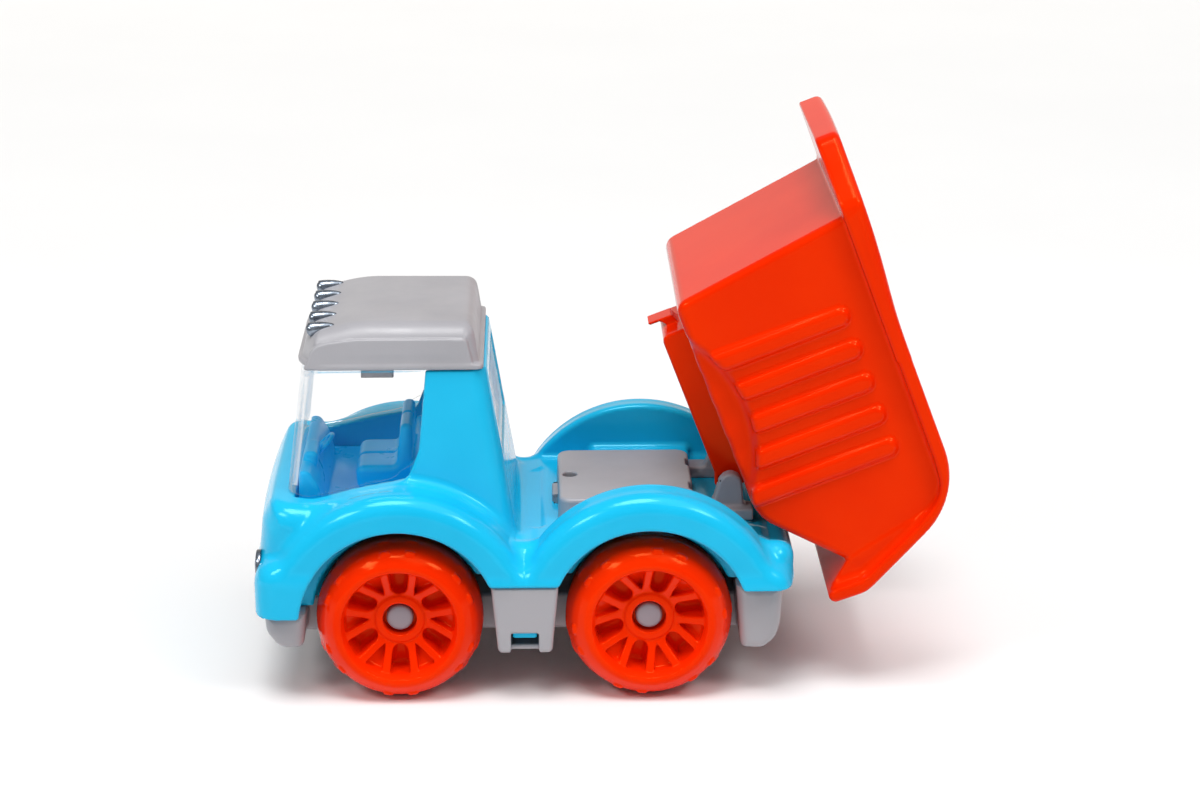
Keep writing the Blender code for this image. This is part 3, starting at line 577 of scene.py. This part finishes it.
FLOOR = 96.1
SKIRT = 177.6  # lower edge of the rim
RIM = 184.1
WIDE = 55.5
BELLY = 51.0
RIM_HALF = 62.0
BED_WALL = 2.6
TAIL = 0.908  # rise of the sloping end of the floor
RIBS = [29.0 - 16.0 * number for number in range(5)]
RELIEF = 63.0  # radius of the hollow over each rear fender
CHANNEL_TOP = FLOOR - 0.2
CHANNEL_BOTTOM = 83.5
CHANNEL_FRONT = 37.9
CHANNEL_HALF = 20.0


def front_wall(z):
    """X of the bed's front wall, which leans forward."""
    return 60.0 + (z - 98.8) * 0.1375


def tub_side():
    corners = [(front_wall(FLOOR), FLOOR, 6.0), (front_wall(183.0), 183.0), (-66.5, 183.0, 20.0)]
    return rounded(corners + [(-82.0, 139.0, 6.0), (-84.0, 130.6), (-46.0, FLOOR, 20.0)])


def room_side():
    """Side view of the load space, open at the top and past the tail."""
    floor, top, rear, bend = FLOOR + 2.5, 205.0, -112.0, -45.0
    corners = [(front_wall(floor) - BED_WALL, floor, 4.0), (front_wall(top) - BED_WALL, top)]
    return rounded(corners + [(rear, top), (rear, floor + (bend - rear) * TAIL), (bend, floor, 18.0)])


def rim_side():
    """Side view of the rim, which turns down at the tail to a lip."""
    outer = [(front_wall(RIM) + 2.0, RIM), (-67.1, RIM, 38.0), (-94.3, 130.2, 15.0), (-93.8, 113.9, 3.0)]
    inner = [(-90.0, 112.9, 1.8), (-79.6, 125.5), (-76.8, 134.0, 6.0), (-67.3, SKIRT, 17.0)]
    return rounded(outer + inner + [(front_wall(SKIRT) + 2.0, SKIRT)], 12)


def recess_side():
    """Side view of the hollow that leaves only a strip of the rim standing proud at the tail."""
    corners = [(130.0, RIM - 6.0), (-65.0, RIM - 6.0, 32.0), (-88.0, 131.5, 12.0), (-87.6, 100.0)]
    return rounded(corners + [(-40.0, 60.0), (130.0, 60.0)], 12)


def guard_plan():
    """Plan of the guard that reaches over the cab."""
    rear, shoulder, tip, tip_half = -6.0, 76.0, 102.8, 39.0
    corners = [(rear, -RIM_HALF), (shoulder, -RIM_HALF, 9.0), (tip, -tip_half, 9.0)]
    return rounded(corners + [(tip, tip_half, 9.0), (shoulder, RIM_HALF, 9.0), (rear, RIM_HALF)])


def channel_side():
    """Side view of the channel under the bed, its rear end round the hinge pins."""
    rear = arc(PIVOT[0], PIVOT[1], 5.0, 180.0, 262.0, 8)
    corner = (CHANNEL_FRONT, CHANNEL_TOP)
    nose = rounded([(-31.0, CHANNEL_BOTTOM), (CHANNEL_FRONT, CHANNEL_BOTTOM, 3.5), corner])
    return [corner, (PIVOT[0] - 5.0, CHANNEL_TOP)] + rear + nose[:-1]


TUB = tub_side()
ROOM = room_side()
RIM_BAND = rim_side()
RECESS = recess_side()
GUARD = guard_plan()
CHANNEL = channel_side()
TONGUE = [(36.9, 88.5), (36.9, 92.5), (41.9, 90.5), (41.9, 79.5), (41.0, 79.5), (41.0, 84.5)]


def bed_ribs(x, a, z, shrink):
    """Half-round ribs up each side, a little deeper toward the floor."""
    best = None
    for centre in RIBS:
        plan = capsule(x, z, ((centre, 80.0), (centre, 161.0)), 4.7 - shrink)
        rise = 2.2 + 1.3 * np.clip((162.0 - z) / 60.0, 0.0, 1.0)
        rib = meet(plan, a - WIDE - rise + shrink, 3.0)
        best = rib if best is None else np.minimum(best, rib)
    return best


def guard_field(x, y, z):
    """Flat guard with a slightly crowned top."""
    crown = RIM + 4.6 * slope(x, 5.0, 84.0) - 0.0003 * y * y * slope(x, 40.0, 90.0)
    guard = meet(polygon(GUARD, x, y), z - crown, 3.0)
    return np.maximum(meet(guard, SKIRT - z, 1.0), 2.0 - x)


def load_space(x, a, z, relief):
    """Inside of the tub, with the hollow backs of the ribs."""
    room = meet(polygon(ROOM, x, z), a - WIDE + BED_WALL, 5.0)
    room = carve(room, meet(relief - 2.5, BELLY - 2.5 - a, 4.0), 3.0)
    grooves = np.maximum(bed_ribs(x, a, z, 2.5), 4.0 - relief)
    grooves = np.maximum(np.maximum(grooves, 48.0 - a), FLOOR + 7.0 - z)
    return np.minimum(room, grooves)


def bed_field(x, y, z):
    a = np.abs(y)
    side = polygon(TUB, x, z)
    relief = np.hypot(x - 3.5, z - 46.1) - RELIEF
    tub = meet(side, a - WIDE, 3.5)
    tub = fuse(tub, meet(bed_ribs(x, a, z, 0.0), side + 0.3, 2.0), 1.3)
    tub = carve(tub, meet(relief, BELLY - a, 4.0), 3.0)
    rim = meet(polygon(RIM_BAND, x, z), a - RIM_HALF, 1.8)
    rim = carve(rim, meet(polygon(RECESS, x, z), WIDE + 0.3 - a, 4.0), 1.0)
    shape = fuse(fuse(tub, rim, 1.6), guard_field(x, y, z), 0.7)
    return carve(shape, load_space(x, a, z, relief), 1.0)


def channel_field(x, y, z):
    a = np.abs(y)
    inner = CHANNEL_HALF - 2.5
    shape = meet(polygon(CHANNEL, x, z), a - CHANNEL_HALF, 1.2)
    inside = np.maximum(np.abs(x - 3.5) - 31.8, np.maximum(z - CHANNEL_TOP + 2.5, a - inner))
    shape = carve(shape, inside, 0.6)
    shape = carve(shape, np.maximum(x + 28.0, a - inner), 0.6)
    shape = carve(shape, np.hypot(x - PIVOT[0], z - PIVOT[1]) - BORE, 0.3)
    tongue = meet(polygon(TONGUE, x, z) - 0.1, a - 6.0, 0.5)
    return fuse(shape, tongue, 0.8)


# Roof


ROOF_BOTTOM = 148.1


def roof_side():
    rear = [(71.4, 130.0), (72.4, 150.0, 10.0), (76.6, 167.6, 6.5)]
    front = [(128.0, 168.0, 60.0), (150.6, 162.8, 12.0), (155.6, 150.0, 6.0), (155.0, 130.0)]
    return rounded(rear + front, 10)


def roof_plan():
    """Plan of the roof, wide open at the sides, which the side walls close."""
    rear, tip, wide = 71.4, 155.8, 60.0
    corners = [(rear, -wide), (rear, wide), (120.0, wide), (147.0, 45.6, 9.0), (tip, 30.0, 14.0)]
    return rounded(corners + [(tip, -30.0, 14.0), (147.0, -45.6, 9.0), (120.0, -wide)])


ROOF = roof_side()
ROOF_PLAN = roof_plan()


def roof_field(x, y, z):
    a = np.abs(y)
    side = polygon(ROOF, x, z)
    plan = polygon(ROOF_PLAN, x, y)
    half = 45.9 - 0.1 * np.maximum(z - 149.0, 0.0)
    shape = meet(side, meet(plan, (a - half) * 0.98, 3.0), 9.0)
    rise = 0.45 * slope(x, 78.0, 92.0) * slope(-x, -147.0, -128.0) * slope(z, 151.0, 156.0)
    panel = meet(meet(z - 162.6, side + 4.4, 3.0), a - half - rise, 1.2)
    shape = fuse(shape, np.maximum(panel, half - 3.0 - a), 0.3)
    lip = meet(meet(side - 0.5, meet(plan - 0.4, a - 46.2, 3.0), 4.0), z - 150.6, 0.9)
    shape = meet(fuse(shape, lip, 1.0), ROOF_BOTTOM - z, 0.8)
    inner = meet(side + 3.4, meet(plan + 3.4, a - half + 3.4, 4.0), 6.0)
    shape = carve(shape, inner, 1.0)
    clip = block(x, a, z, (119.4, 40.2, 146.0), (7.2, 1.5, 7.8), 0.5)
    hook = block(x, a, z, (111.4, 40.2, 140.6), (1.6, 1.2, 0.7), 0.4)
    return np.minimum(shape, np.minimum(clip, hook))


# Chassis and hinge base


CHASSIS_BOTTOM = 24.2
STEP_TOP = 55.4
BASE_TOP = 82.7
BASE_BOTTOM = DECK + 0.1


def rear_bumper():
    outer = [(-59.3, 52.9), (-58.6, 34.0, 20.0), (-56.6, 27.0, 9.0), (-51.0, 22.2, 6.0)]
    return rounded(outer + [(-41.0, 22.6, 3.0), (-38.6, 52.9)])


def front_bumper():
    return rounded([(152.4, 41.2), (154.0, 24.6, 3.0), (164.5, 24.2, 7.0), (170.2, 32.0, 8.0), (171.0, 41.2)])


def horn_side():
    """Side view of a hinge post, its foot wider than its head."""
    head = arc(PIVOT[0] - 2.3, PIVOT[1] + 0.6, 5.2, 35.0, 180.0, 20)
    rear = [(-43.8, 80.0), (-45.6, BASE_BOTTOM)]
    front = [(-22.5, BASE_BOTTOM), (-26.5, 74.6), (-29.2, 78.0), (-30.8, 81.5), (-31.8, 85.5), (-32.8, 88.8)]
    return head + rear + front


BUMPERS = (rear_bumper(), front_bumper())
HORN = horn_side()


def step_boxes(x, a, z):
    """The box between the wheels on each side, narrowing downward."""
    rise = (z - CHASSIS_BOTTOM) / (STEP_TOP - CHASSIS_BOTTOM)
    step = meet(np.abs(x - CLIP_X + 0.1) - (12.0 + 2.9 * rise), a - 72.2, 2.0)
    return meet(meet(step, z - STEP_TOP, 0.6), CHASSIS_BOTTOM - z, 2.0)


def axle_holes(shape, x, a, z):
    """Bores for the axles, with a boss at each end."""
    for axle_x in AXLES:
        radial = np.hypot(x - axle_x, z - AXLE_Z)
        shape = carve(shape, np.maximum(radial - BORE, 36.0 - a), 0.3)
        boss = np.maximum(radial - 6.0, np.abs(a - 43.5) - 2.8)
        shape = fuse(shape, np.maximum(boss, BORE - radial), 0.8)
    return shape


def chassis_field(x, y, z):
    a = np.abs(y)
    shape = block(x, y, z, (55.0, 0.0, 31.8), (113.0, 41.0, 8.8), 2.0)
    for outline in BUMPERS:
        shape = fuse(shape, meet(polygon(outline, x, z), a - 66.5, 5.0), 1.0)
    shape = fuse(shape, step_boxes(x, a, z), 1.0)
    notch = block(x, a, z, (CLIP_X, 73.0, 27.0), (6.1, 6.0, 6.8), 1.0)
    pocket = block(x, a, z, (CLIP_X, 56.5, 45.0), (9.6, 12.6, 18.5), 1.5)
    shape = carve(carve(shape, notch, 0.5), pocket, 0.5)
    shape = axle_holes(shape, x, a, z)
    for screw_x in (-30.0, 82.0):
        recess = np.maximum(np.hypot(x - screw_x, a - 24.0) - 3.6, z - 25.6)
        shape = carve(shape, recess, 0.4)
    panel = meet(np.abs(x - 26.0) - 40.0, a - 15.0, 3.0)
    return carve(shape, np.maximum(panel, z - 23.6), 0.4)


def front_lug(x, y, z):
    """The lug and clip at the front of the hinge base, slit on both sides."""
    lug = block(x, y, z, (39.5, 0.0, 73.6), (3.0, 10.0, 2.2), 0.7)
    clip = block(x, y, z, (41.5, 0.0, 70.2), (1.0, 7.0, 3.8), 0.4)
    for slit in (-8.5, 8.5):
        lug = carve(lug, block(x, y, z, (41.0, slit, 74.0), (3.0, 0.7, 6.0), 0.2), 0.2)
    return np.minimum(lug, clip)


def hinge_field(x, y, z):
    a = np.abs(y)
    wall = 34.5 - (z - DECK) * 0.06
    plan = meet(np.abs(x - 9.0) - 31.0 + (z - DECK) * 0.04, a - wall, 6.0)
    shape = meet(meet(plan, z - BASE_TOP, 1.6), BASE_BOTTOM - z, 0.3)
    arm = block(x, a, z, (-35.0, 28.4, 74.6), (13.0, 6.0, 2.6), 0.8)
    horn = meet(polygon(HORN, x, z), np.abs(a - 25.9) - 3.5, 1.2)
    shape = fuse(fuse(shape, arm, 1.0), horn, 1.5)
    bore = np.maximum(np.hypot(x - PIVOT[0], z - PIVOT[1]) - BORE, a - 28.0)
    shape = carve(shape, np.maximum(bore, 20.0 - a), 0.2)
    recess = np.maximum(np.hypot(x - 34.3, y) - 3.25, 76.0 - z)
    shape = np.minimum(carve(shape, recess, 0.7), front_lug(x, y, z))
    slot = block(x, a, z, (-24.0, 16.0, 80.0), (4.0, 4.5, 5.0), 1.0)
    return carve(shape, slot, 0.8)


# Wheels


def centre_of(name):
    low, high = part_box(name)
    return (low + high) / 2.0


SPOKE = 3.2
WEB_START = 12.2
WEB_END = 24.4
STUD_ANGLE = math.radians(9.5)


def wheel_section():
    """Half section of the tyre and the dished disc, as (radius, height), outer face at the top."""
    hub = [(BORE, -3.4), (7.5, -3.4, 0.5), (7.5, 2.9, 0.8), (10.7, 2.6, 1.2), (11.4, 1.7, 1.0)]
    tyre = [(24.2, 8.3, 1.5), (25.7, 11.6, 1.2), (27.8, 12.6, 4.0), (33.8, 8.2, 12.0), (37.4, 0.0, 14.0)]
    inner = [(36.9, -12.0, 4.0), (25.0, -12.0, 1.5), (24.0, -7.0, 2.0), (8.0, -9.5, 1.5), (7.5, -11.4, 0.8)]
    return rounded(hub + tyre + inner + [(BORE, -11.4)], 6)


SECTION = wheel_section()


def sixth(angle):
    """The angle folded into the sixth of a turn round zero."""
    return (angle + math.pi / 6.0) % (math.pi / 3.0) - math.pi / 6.0


def wheel_windows(radial, angle, z):
    """Six deep windows with a round inner end, and between them six pockets that rise outward."""
    folded = sixth(angle)
    u, v = radial * np.cos(folded), np.abs(radial * np.sin(folded))
    half = 3.5 + 0.12 * np.maximum(u - 15.0, 0.0)
    reach = np.where(u < 15.6, np.hypot(u - 15.6, v) - half, v - half)
    deep = meet(meet(reach, radial - WEB_END, 1.2), -5.0 - z, 2.5)
    flare = np.minimum(0.5, 0.06 * (radial - 12.0))
    pocket = meet(half + SPOKE + flare - v, radial - WEB_END + 0.1, 1.4)
    pocket = meet(pocket, WEB_START - radial, 0.8)
    shallow = meet(pocket, -3.6 + 0.62 * (radial - 12.0) - z, 1.0)
    hole = np.maximum(np.maximum(pocket, radial - 14.6), -20.0 - z)
    return np.minimum(np.minimum(deep, shallow), hole)


def studs(radial, angle, z):
    """Six pairs of small studs on the outer shoulder of the tread, and a row round its middle."""
    along = np.abs(np.abs(sixth(angle)) - STUD_ANGLE) * 33.0
    outer = np.hypot(np.maximum(along - 1.1, 0.0), np.hypot(radial - 33.2, z - 7.3)) - 1.6
    tread = np.hypot(np.maximum(along - 1.4, 0.0), np.maximum(np.abs(z + 2.5) - 3.0, 0.0))
    tread = np.hypot(tread, radial - 35.9) - 1.35
    return np.minimum(outer, tread)


def wheel_field(phase):
    """Field of a wheel about Z, turned by a phase."""

    def field(x, y, z):
        radial = np.hypot(x, y)
        angle = np.arctan2(y, x) - phase
        shape = carve(polygon(SECTION, radial, z), wheel_windows(radial, angle, z), 0.8)
        return fuse(shape, studs(radial, angle, z), 0.5)

    return field


def build_wheels():
    low, high, cell = (-38.5, -38.5, -12.5), (38.5, 38.5, 12.8), 0.72
    for axle, axle_x, turned in (("front", WHEELBASE, 90.0), ("rear", 0.0, 75.0)):
        for side, sign in SIDES:
            name = f"{axle}_{side}_wheel"
            base = solid(f"{name}_moulding", wheel_field(math.radians(turned)), low, high, cell)
            turn = Matrix.Rotation(-sign * math.pi / 2.0, 4, "X")
            shift = Matrix.Translation((axle_x * MM + ORIGIN_X, centre_of(name).y, AXLE_Z * MM))
            reposition(base, shift @ turn @ Matrix.Translation((-ORIGIN_X, 0.0, 0.0)))
            piece(base, name, [name], WHEEL_ORANGE)


def reposition(obj, matrix):
    """Moves a mesh by a matrix, with its own normals."""
    mesh = obj.data
    normals = np.zeros(len(mesh.loops) * 3, np.float32)
    mesh.corner_normals.foreach_get("vector", normals)
    vertex = np.zeros(len(mesh.loops), np.int32)
    mesh.loops.foreach_get("vertex_index", vertex)
    by_vertex = np.zeros((len(mesh.vertices), 3), np.float32)
    by_vertex[vertex] = normals.reshape(-1, 3)
    mesh.transform(matrix)
    turned = by_vertex @ np.array(matrix.to_3x3()).T
    mesh.normals_split_custom_set_from_vertices(turned)


# Glazing


GLASS_REAR = 98.4
GLASS_FRONT = 160.6
GLASS_LENGTH = 62.0
GLASS_ROWS = 14
CORNER = (0.80, 0.78)  # where the corner starts, as shares of the length and the half width
SILL_LINE = [(98.4, 146.0), (100.0, 130.0), (102.3, 112.0), (103.6, 107.0), (105.5, 103.2), (109.0, 99.6)]
SILL_LINE += [(113.0, 98.4), (126.0, 95.9), (141.0, 92.3), (150.0, 91.0), (160.5, 91.6)]


def glazing_path():
    """Plan of the clear skin as shares of the cab's length and half width, left rear round to right rear."""
    start, flat = CORNER
    side = [(t, 1.0) for t in np.linspace(0.0, start, 26)]
    turns = np.linspace(0.0, math.pi / 2, 12)[1:]
    corner = [(start + (1.0 - start) * math.sin(t), flat + (1.0 - flat) * math.cos(t)) for t in turns]
    half = side + corner + [(1.0, t) for t in np.linspace(flat, 0.0, 10)[1:]]
    return half + [(x, -y) for x, y in reversed(half[:-1])]


def glazing_foot(share):
    """Height of the sill under a point of the skin."""
    along, height = zip(*SILL_LINE)
    return float(np.interp(GLASS_REAR + share * GLASS_LENGTH, along, height)) + 0.25


def glazing_point(share_x, share_y, z):
    """A point of the skin, in metres. The screen leans back, and the rear edge follows the pillar."""
    rear = GLASS_REAR + np.interp(z, [96.0, 112.0, 148.0], [4.0, 4.0, 0.2])
    front = GLASS_FRONT - (z - 90.0) * 0.132
    x = rear + (front - rear) * share_x
    if share_x <= 0.12:
        x = GLASS_REAR + (GLASS_LENGTH + front - GLASS_FRONT) * share_x
    return (min(x, front) * MM + ORIGIN_X, share_y * (cab_half(z) - 0.3) * MM, z * MM)


def build_glazing():
    """Windscreen and side windows: one clear skin round the cab, standing on the sill."""
    shape = bmesh.new()
    columns = []
    for share_x, share_y in glazing_path():
        heights = np.linspace(glazing_foot(share_x), ROOF_LINE - 0.3, GLASS_ROWS + 1)
        columns.append([shape.verts.new(glazing_point(share_x, share_y, z)) for z in heights])
    for left, right in zip(columns, columns[1:]):
        for row in range(GLASS_ROWS):
            shape.faces.new((left[row], right[row], right[row + 1], left[row + 1]))
    obj = add("cab_glazing_skin", finish_mesh("cab_glazing_skin", shape))
    thick = obj.modifiers.new("thickness", "SOLIDIFY")
    thick.thickness = 1.4 * MM
    thick.offset = -1.0
    obj.data.shade_smooth()
    piece(obj, ROOT, ["cab_glazing"], CLEAR)


# Cab fittings


def seat_side():
    back = [(106.0, 79.0), (105.4, 114.0, 2.4), (110.8, 114.0, 2.6), (113.2, 94.2, 3.0)]
    return rounded(back + [(132.0, 94.2, 4.0), (131.0, 84.0, 2.5), (121.0, 79.0)])


SEAT = seat_side()
DASH = rounded([(144.0, 79.0), (147.0, 92.0, 8.0), (151.4, 99.5, 4.0), (155.4, 99.0, 1.5), (156.2, 79.0)])


def interior_field(x, y, z):
    a = np.abs(y)
    tray = block(x, y, z, (109.6, 0.0, 79.8), (46.0, 47.4, 1.0), 0.6)
    outline = polygon(SEAT, x, z)
    seat = meet(outline, a - 20.0, 3.0)
    seat = carve(seat, np.maximum(a - 0.9, -outline - 1.2), 0.6)
    bench = block(x, y, z, (99.0, 0.0, 88.0), (7.5, 46.5, 8.6), 2.0)
    dash = meet(polygon(DASH, x, z), a - 40.0, 2.0)
    binnacle = block(x, y, z, (151.4, 14.0, 99.0), (3.2, 10.0, 3.6), 2.4)
    shape = fuse(fuse(tray, seat, 1.5), fuse(dash, binnacle, 1.5), 1.0)
    return fuse(shape, bench, 1.0)


def add_ring(shape, radius, thickness, around=40, across=10):
    """A closed ring of round section about Z."""
    rows = []
    for t in np.linspace(0.0, 2.0 * math.pi, around, endpoint=False):
        row = []
        for s in np.linspace(0.0, 2.0 * math.pi, across, endpoint=False):
            reach = radius + thickness * math.cos(s)
            point = Vector((reach * math.cos(t), reach * math.sin(t), thickness * math.sin(s)))
            row.append(shape.verts.new(point * MM))
        rows.append(row)
    for row, after in zip(rows, rows[1:] + rows[:1]):
        for j in range(across):
            k = (j + 1) % across
            shape.faces.new((row[j], after[j], after[k], row[k]))


def build_steering():
    """Steering wheel with its hub and three spokes."""
    low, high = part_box("steering_wheel")
    centre = Vector((low.x + 4.2 * MM, 0.0, (low.z + high.z) / 2.0))
    shape = bmesh.new()
    add_ring(shape, 6.3, 0.95)
    hub = bmesh.ops.create_uvsphere(shape, u_segments=20, v_segments=12, radius=2.3 * MM)["verts"]
    bmesh.ops.scale(shape, vec=(1.0, 1.0, 0.5), verts=hub)
    for turn in (0.0, 2.1, 4.2):
        spoke = bmesh.ops.create_cube(shape, size=1.0)["verts"]
        bmesh.ops.scale(shape, vec=(5.6 * MM, 1.5 * MM, 0.9 * MM), verts=spoke)
        bmesh.ops.translate(shape, vec=(3.2 * MM, 0.0, 0.0), verts=spoke)
        bmesh.ops.rotate(shape, cent=(0, 0, 0), matrix=Matrix.Rotation(turn, 3, "Z"), verts=spoke)
    mesh = finish_mesh("steering_wheel_moulding", shape)
    mesh.transform(Matrix.Translation(centre) @ Matrix.Rotation(math.radians(46.0), 4, "Y"))
    mesh.shade_smooth()
    obj = add("steering_wheel_moulding", mesh)
    bevel = obj.modifiers.new("soft_edges", "BEVEL")
    bevel.width = 0.25 * MM
    bevel.segments = 2
    piece(obj, ROOT, ["steering_wheel"], INNER_BLUE)


def lathe(name, profile, segments=48):
    """A turned mesh about Z, from (radius, height) in millimetres, closed on the axis at both ends."""
    shape = bmesh.new()
    turns = [2.0 * math.pi * i / segments for i in range(segments)]
    rows = []
    for radius, height in profile:
        around = turns if radius > 0.0 else [0.0]
        points = [Vector((radius * math.cos(t), radius * math.sin(t), height)) * MM for t in around]
        rows.append([shape.verts.new(point) for point in points])
    for upper, lower in zip(rows, rows[1:]):
        for i in range(segments):
            j = (i + 1) % segments
            if len(upper) == 1:
                shape.faces.new((upper[0], lower[i], lower[j]))
            elif len(lower) == 1:
                shape.faces.new((upper[i], lower[0], upper[j]))
            else:
                shape.faces.new((upper[i], lower[i], lower[j], upper[j]))
    mesh = finish_mesh(name, shape)
    mesh.shade_smooth()
    mesh.set_sharp_from_angle(angle=math.radians(40.0))
    return mesh


def turned_piece(name, ending, profile, matrix, material):
    """A turned piece on the truck, in place of the CAD node it is named after."""
    mesh = lathe(name, profile)
    mesh.transform(Matrix.Translation(centre_of(name)) @ matrix)
    piece(add(f"{name}_{ending}", mesh), ROOT, [name], material)


LAMP_PROFILE = [(0.0, 5.7), (1.3, 5.55), (2.1, 5.1), (2.3, 4.7), (2.35, 4.3), (2.85, 4.5), (3.0, 4.1)]
LAMP_PROFILE += [(2.95, 3.0), (2.7, 1.0), (2.2, -1.4), (1.5, -3.6), (0.8, -5.2), (0.0, -5.9)]
CAP_PROFILE = [(0.0, 2.35), (2.5, 2.3), (4.4, 2.1), (5.3, 1.75), (5.8, 1.2), (6.0, 0.5)]
CAP_PROFILE += [(6.0, -1.9), (0.0, -1.9)]
HEADLIGHT_PROFILE = [(0.0, 1.3), (2.5, 1.25), (4.8, 0.9), (5.6, 0.5), (5.8, 0.1), (6.1, 0.4), (6.8, 0.5)]
HEADLIGHT_PROFILE += [(7.1, 0.1), (7.1, -1.4), (0.0, -1.4)]


def build_small_parts():
    """Roof lamps, axle caps and headlights."""
    lean = Matrix.Rotation(math.radians(101.0), 4, "Y") @ Matrix.Scale(1.12, 4)
    lift = Matrix.Translation((0.0, 0.0, 1.7 * MM))
    for number in range(1, 6):
        turned_piece(f"roof_lamp_{number}", "shell", LAMP_PROFILE, lift @ lean, LAMP)
    for axle in ("front", "rear"):
        for side, sign in SIDES:
            outward = Matrix.Rotation(-sign * math.pi / 2.0, 4, "X")
            turned_piece(f"{axle}_{side}_axle_cap", "cover", CAP_PROFILE, outward, CAP_GREY)
    forward = Matrix.Rotation(math.pi / 2.0, 4, "Y")
    for side in ("left", "right"):
        turned_piece(f"headlight_{side}", "lens", HEADLIGHT_PROFILE, forward, LAMP)


def carry_over():
    """CAD nodes that stay, with finished materials."""
    for name, obj in frame["nodes"].items():
        if obj.hide_render:
            continue
        obj.data.materials.clear()
        obj.data.materials.append(CLEAR if name == "rear_window" else STEEL)


# Stage


def build_stage():
    """A plain pale floor."""
    mesh = bpy.data.meshes.new("floor")
    size = 6.0
    corners = [(-size, -size, 0.0), (size, -size, 0.0), (size, size, 0.0), (-size, size, 0.0)]
    mesh.from_pydata(corners, [], [(0, 1, 2, 3)])
    floor = add("floor", mesh)
    floor.location.z = -0.0002
    material, tree, shader = start_material("floor_paper")
    shader.inputs["Roughness"].default_value = 0.9
    shader.inputs["Specular IOR Level"].default_value = 0.1
    paper = node(tree, "ShaderNodeTexNoise", Scale=60.0, Detail=2.0)
    tone = tones(tree, paper, (0.83, 0.83, 0.83, 1.0), (0.86, 0.86, 0.86, 1.0))
    tree.links.new(tone, shader.inputs["Base Color"])
    mesh.materials.append(material)


def area_light(name, location, target, size, power, colour=(1.0, 1.0, 1.0)):
    """A flat rectangular light that faces a point."""
    data = bpy.data.lights.new(name, "AREA")
    data.shape = "RECTANGLE"
    data.size, data.size_y = size
    data.energy = power
    data.color = colour
    light = add(name, data)
    light.location = location
    light.rotation_euler = (Vector(target) - Vector(location)).to_track_quat("-Z", "Y").to_euler()


def sun(name, azimuth, elevation, strength, spread):
    """A very soft far light, from a compass direction in degrees."""
    data = bpy.data.lights.new(name, "SUN")
    data.energy = strength
    data.angle = math.radians(spread)
    light = add(name, data)
    a, e = math.radians(azimuth), math.radians(elevation)
    toward = Vector((math.cos(a) * math.cos(e), math.sin(a) * math.cos(e), math.sin(e)))
    light.rotation_euler = (-toward).to_track_quat("-Z", "Y").to_euler()


def build_lights():
    world = bpy.data.worlds.new("studio")
    bpy.context.scene.world = world
    world.use_nodes = True
    world.node_tree.nodes["Background"].inputs["Color"].default_value = (1.0, 1.0, 1.0, 1.0)
    world.node_tree.nodes["Background"].inputs["Strength"].default_value = 0.27
    sun("key", 60.0, 76.0, 1.7, 26.0)
    sun("fill", 140.0, 68.0, 0.9, 50.0)
    area_light("left_box", (0.75, 0.65, 0.95), (0.0, 0.0, 0.1), (0.34, 0.26), 3.4)
    area_light("right_box", (-0.7, 0.6, 1.0), (0.0, 0.0, 0.1), (0.3, 0.3), 3.0)
    area_light("back_card", (0.2, -2.4, 0.8), (0.0, 0.0, 0.3), (4.0, 1.5), 7.0, (1.0, 0.88, 0.7))
    bpy.context.scene.view_settings.view_transform = "Standard"


def build_camera():
    data = bpy.data.cameras.new("camera")
    data.lens = 84.0
    data.sensor_width = 36.0
    data.clip_start, data.clip_end = 0.05, 20.0
    camera = add("camera", data)
    elevation, yaw = math.radians(18.4), math.radians(1.46)
    level = math.cos(elevation)
    back = Vector((math.sin(yaw) * level, math.cos(yaw) * level, math.sin(elevation)))
    camera.rotation_mode = "QUATERNION"
    camera.rotation_quaternion = (-back).to_track_quat("-Z", "Y")
    camera.location = (ORIGIN_X + 0.0513, 1.2150, 0.5228)
    bpy.context.scene.camera = camera


def clear_start():
    """Removes what a new file starts with."""
    for name in ("Cube", "Light", "Camera"):
        obj = bpy.data.objects.get(name)
        if obj is not None:
            bpy.data.objects.remove(obj, do_unlink=True)


# Name, field, the corners of its box, cell size, CAD node, slot and material
MOULDINGS = [
    ("body", body_field, (-67, -74, 29), (176.5, 74, 149), 1.25, "body_shell", "blue_plastic", BLUE),
    ("bed", bed_field, (-96, -63.5, 94), (102.5, 63.5, 189.5), 1.35, "dump_bed", "bed_plastic", ORANGE),
    ("subframe", channel_field, (-42, -21, 78), (43, 21, 97), 0.9, "bed_subframe", "bed_plastic", ORANGE),
    ("roof", roof_field, (70, -47, 144), (157.5, 47, 167), 1.0, "cab_roof", "grey_plastic", GREY),
    ("chassis", chassis_field, (-61, -74, 21), (173, 74, 57), 1.2, "chassis_base", "grey_plastic", GREY),
    ("hinge_base", hinge_field, (-51, -36, 65), (44, 36, 96), 0.9, "hinge_base", "grey_plastic", GREY),
    (
        "cab_interior",
        interior_field,
        (62, -49, 77.5),
        (158, 49, 115.5),
        0.95,
        "cab_interior",
        "interior_plastic",
        INNER_BLUE,
    ),
]


def build_mouldings():
    for name, field, low, high, cell, cad_node, slot, material in MOULDINGS:
        on_bed = cad_node in BED_NODES
        moulding = solid(f"{name}_moulding", field, low, high, cell, lowered=on_bed)
        piece(moulding, BED if on_bed else ROOT, [cad_node], material)


clear_start()
build_camera()
build_lights()
build_stage()
build_mouldings()
build_wheels()
build_glazing()
build_steering()
build_small_parts()
carry_over()
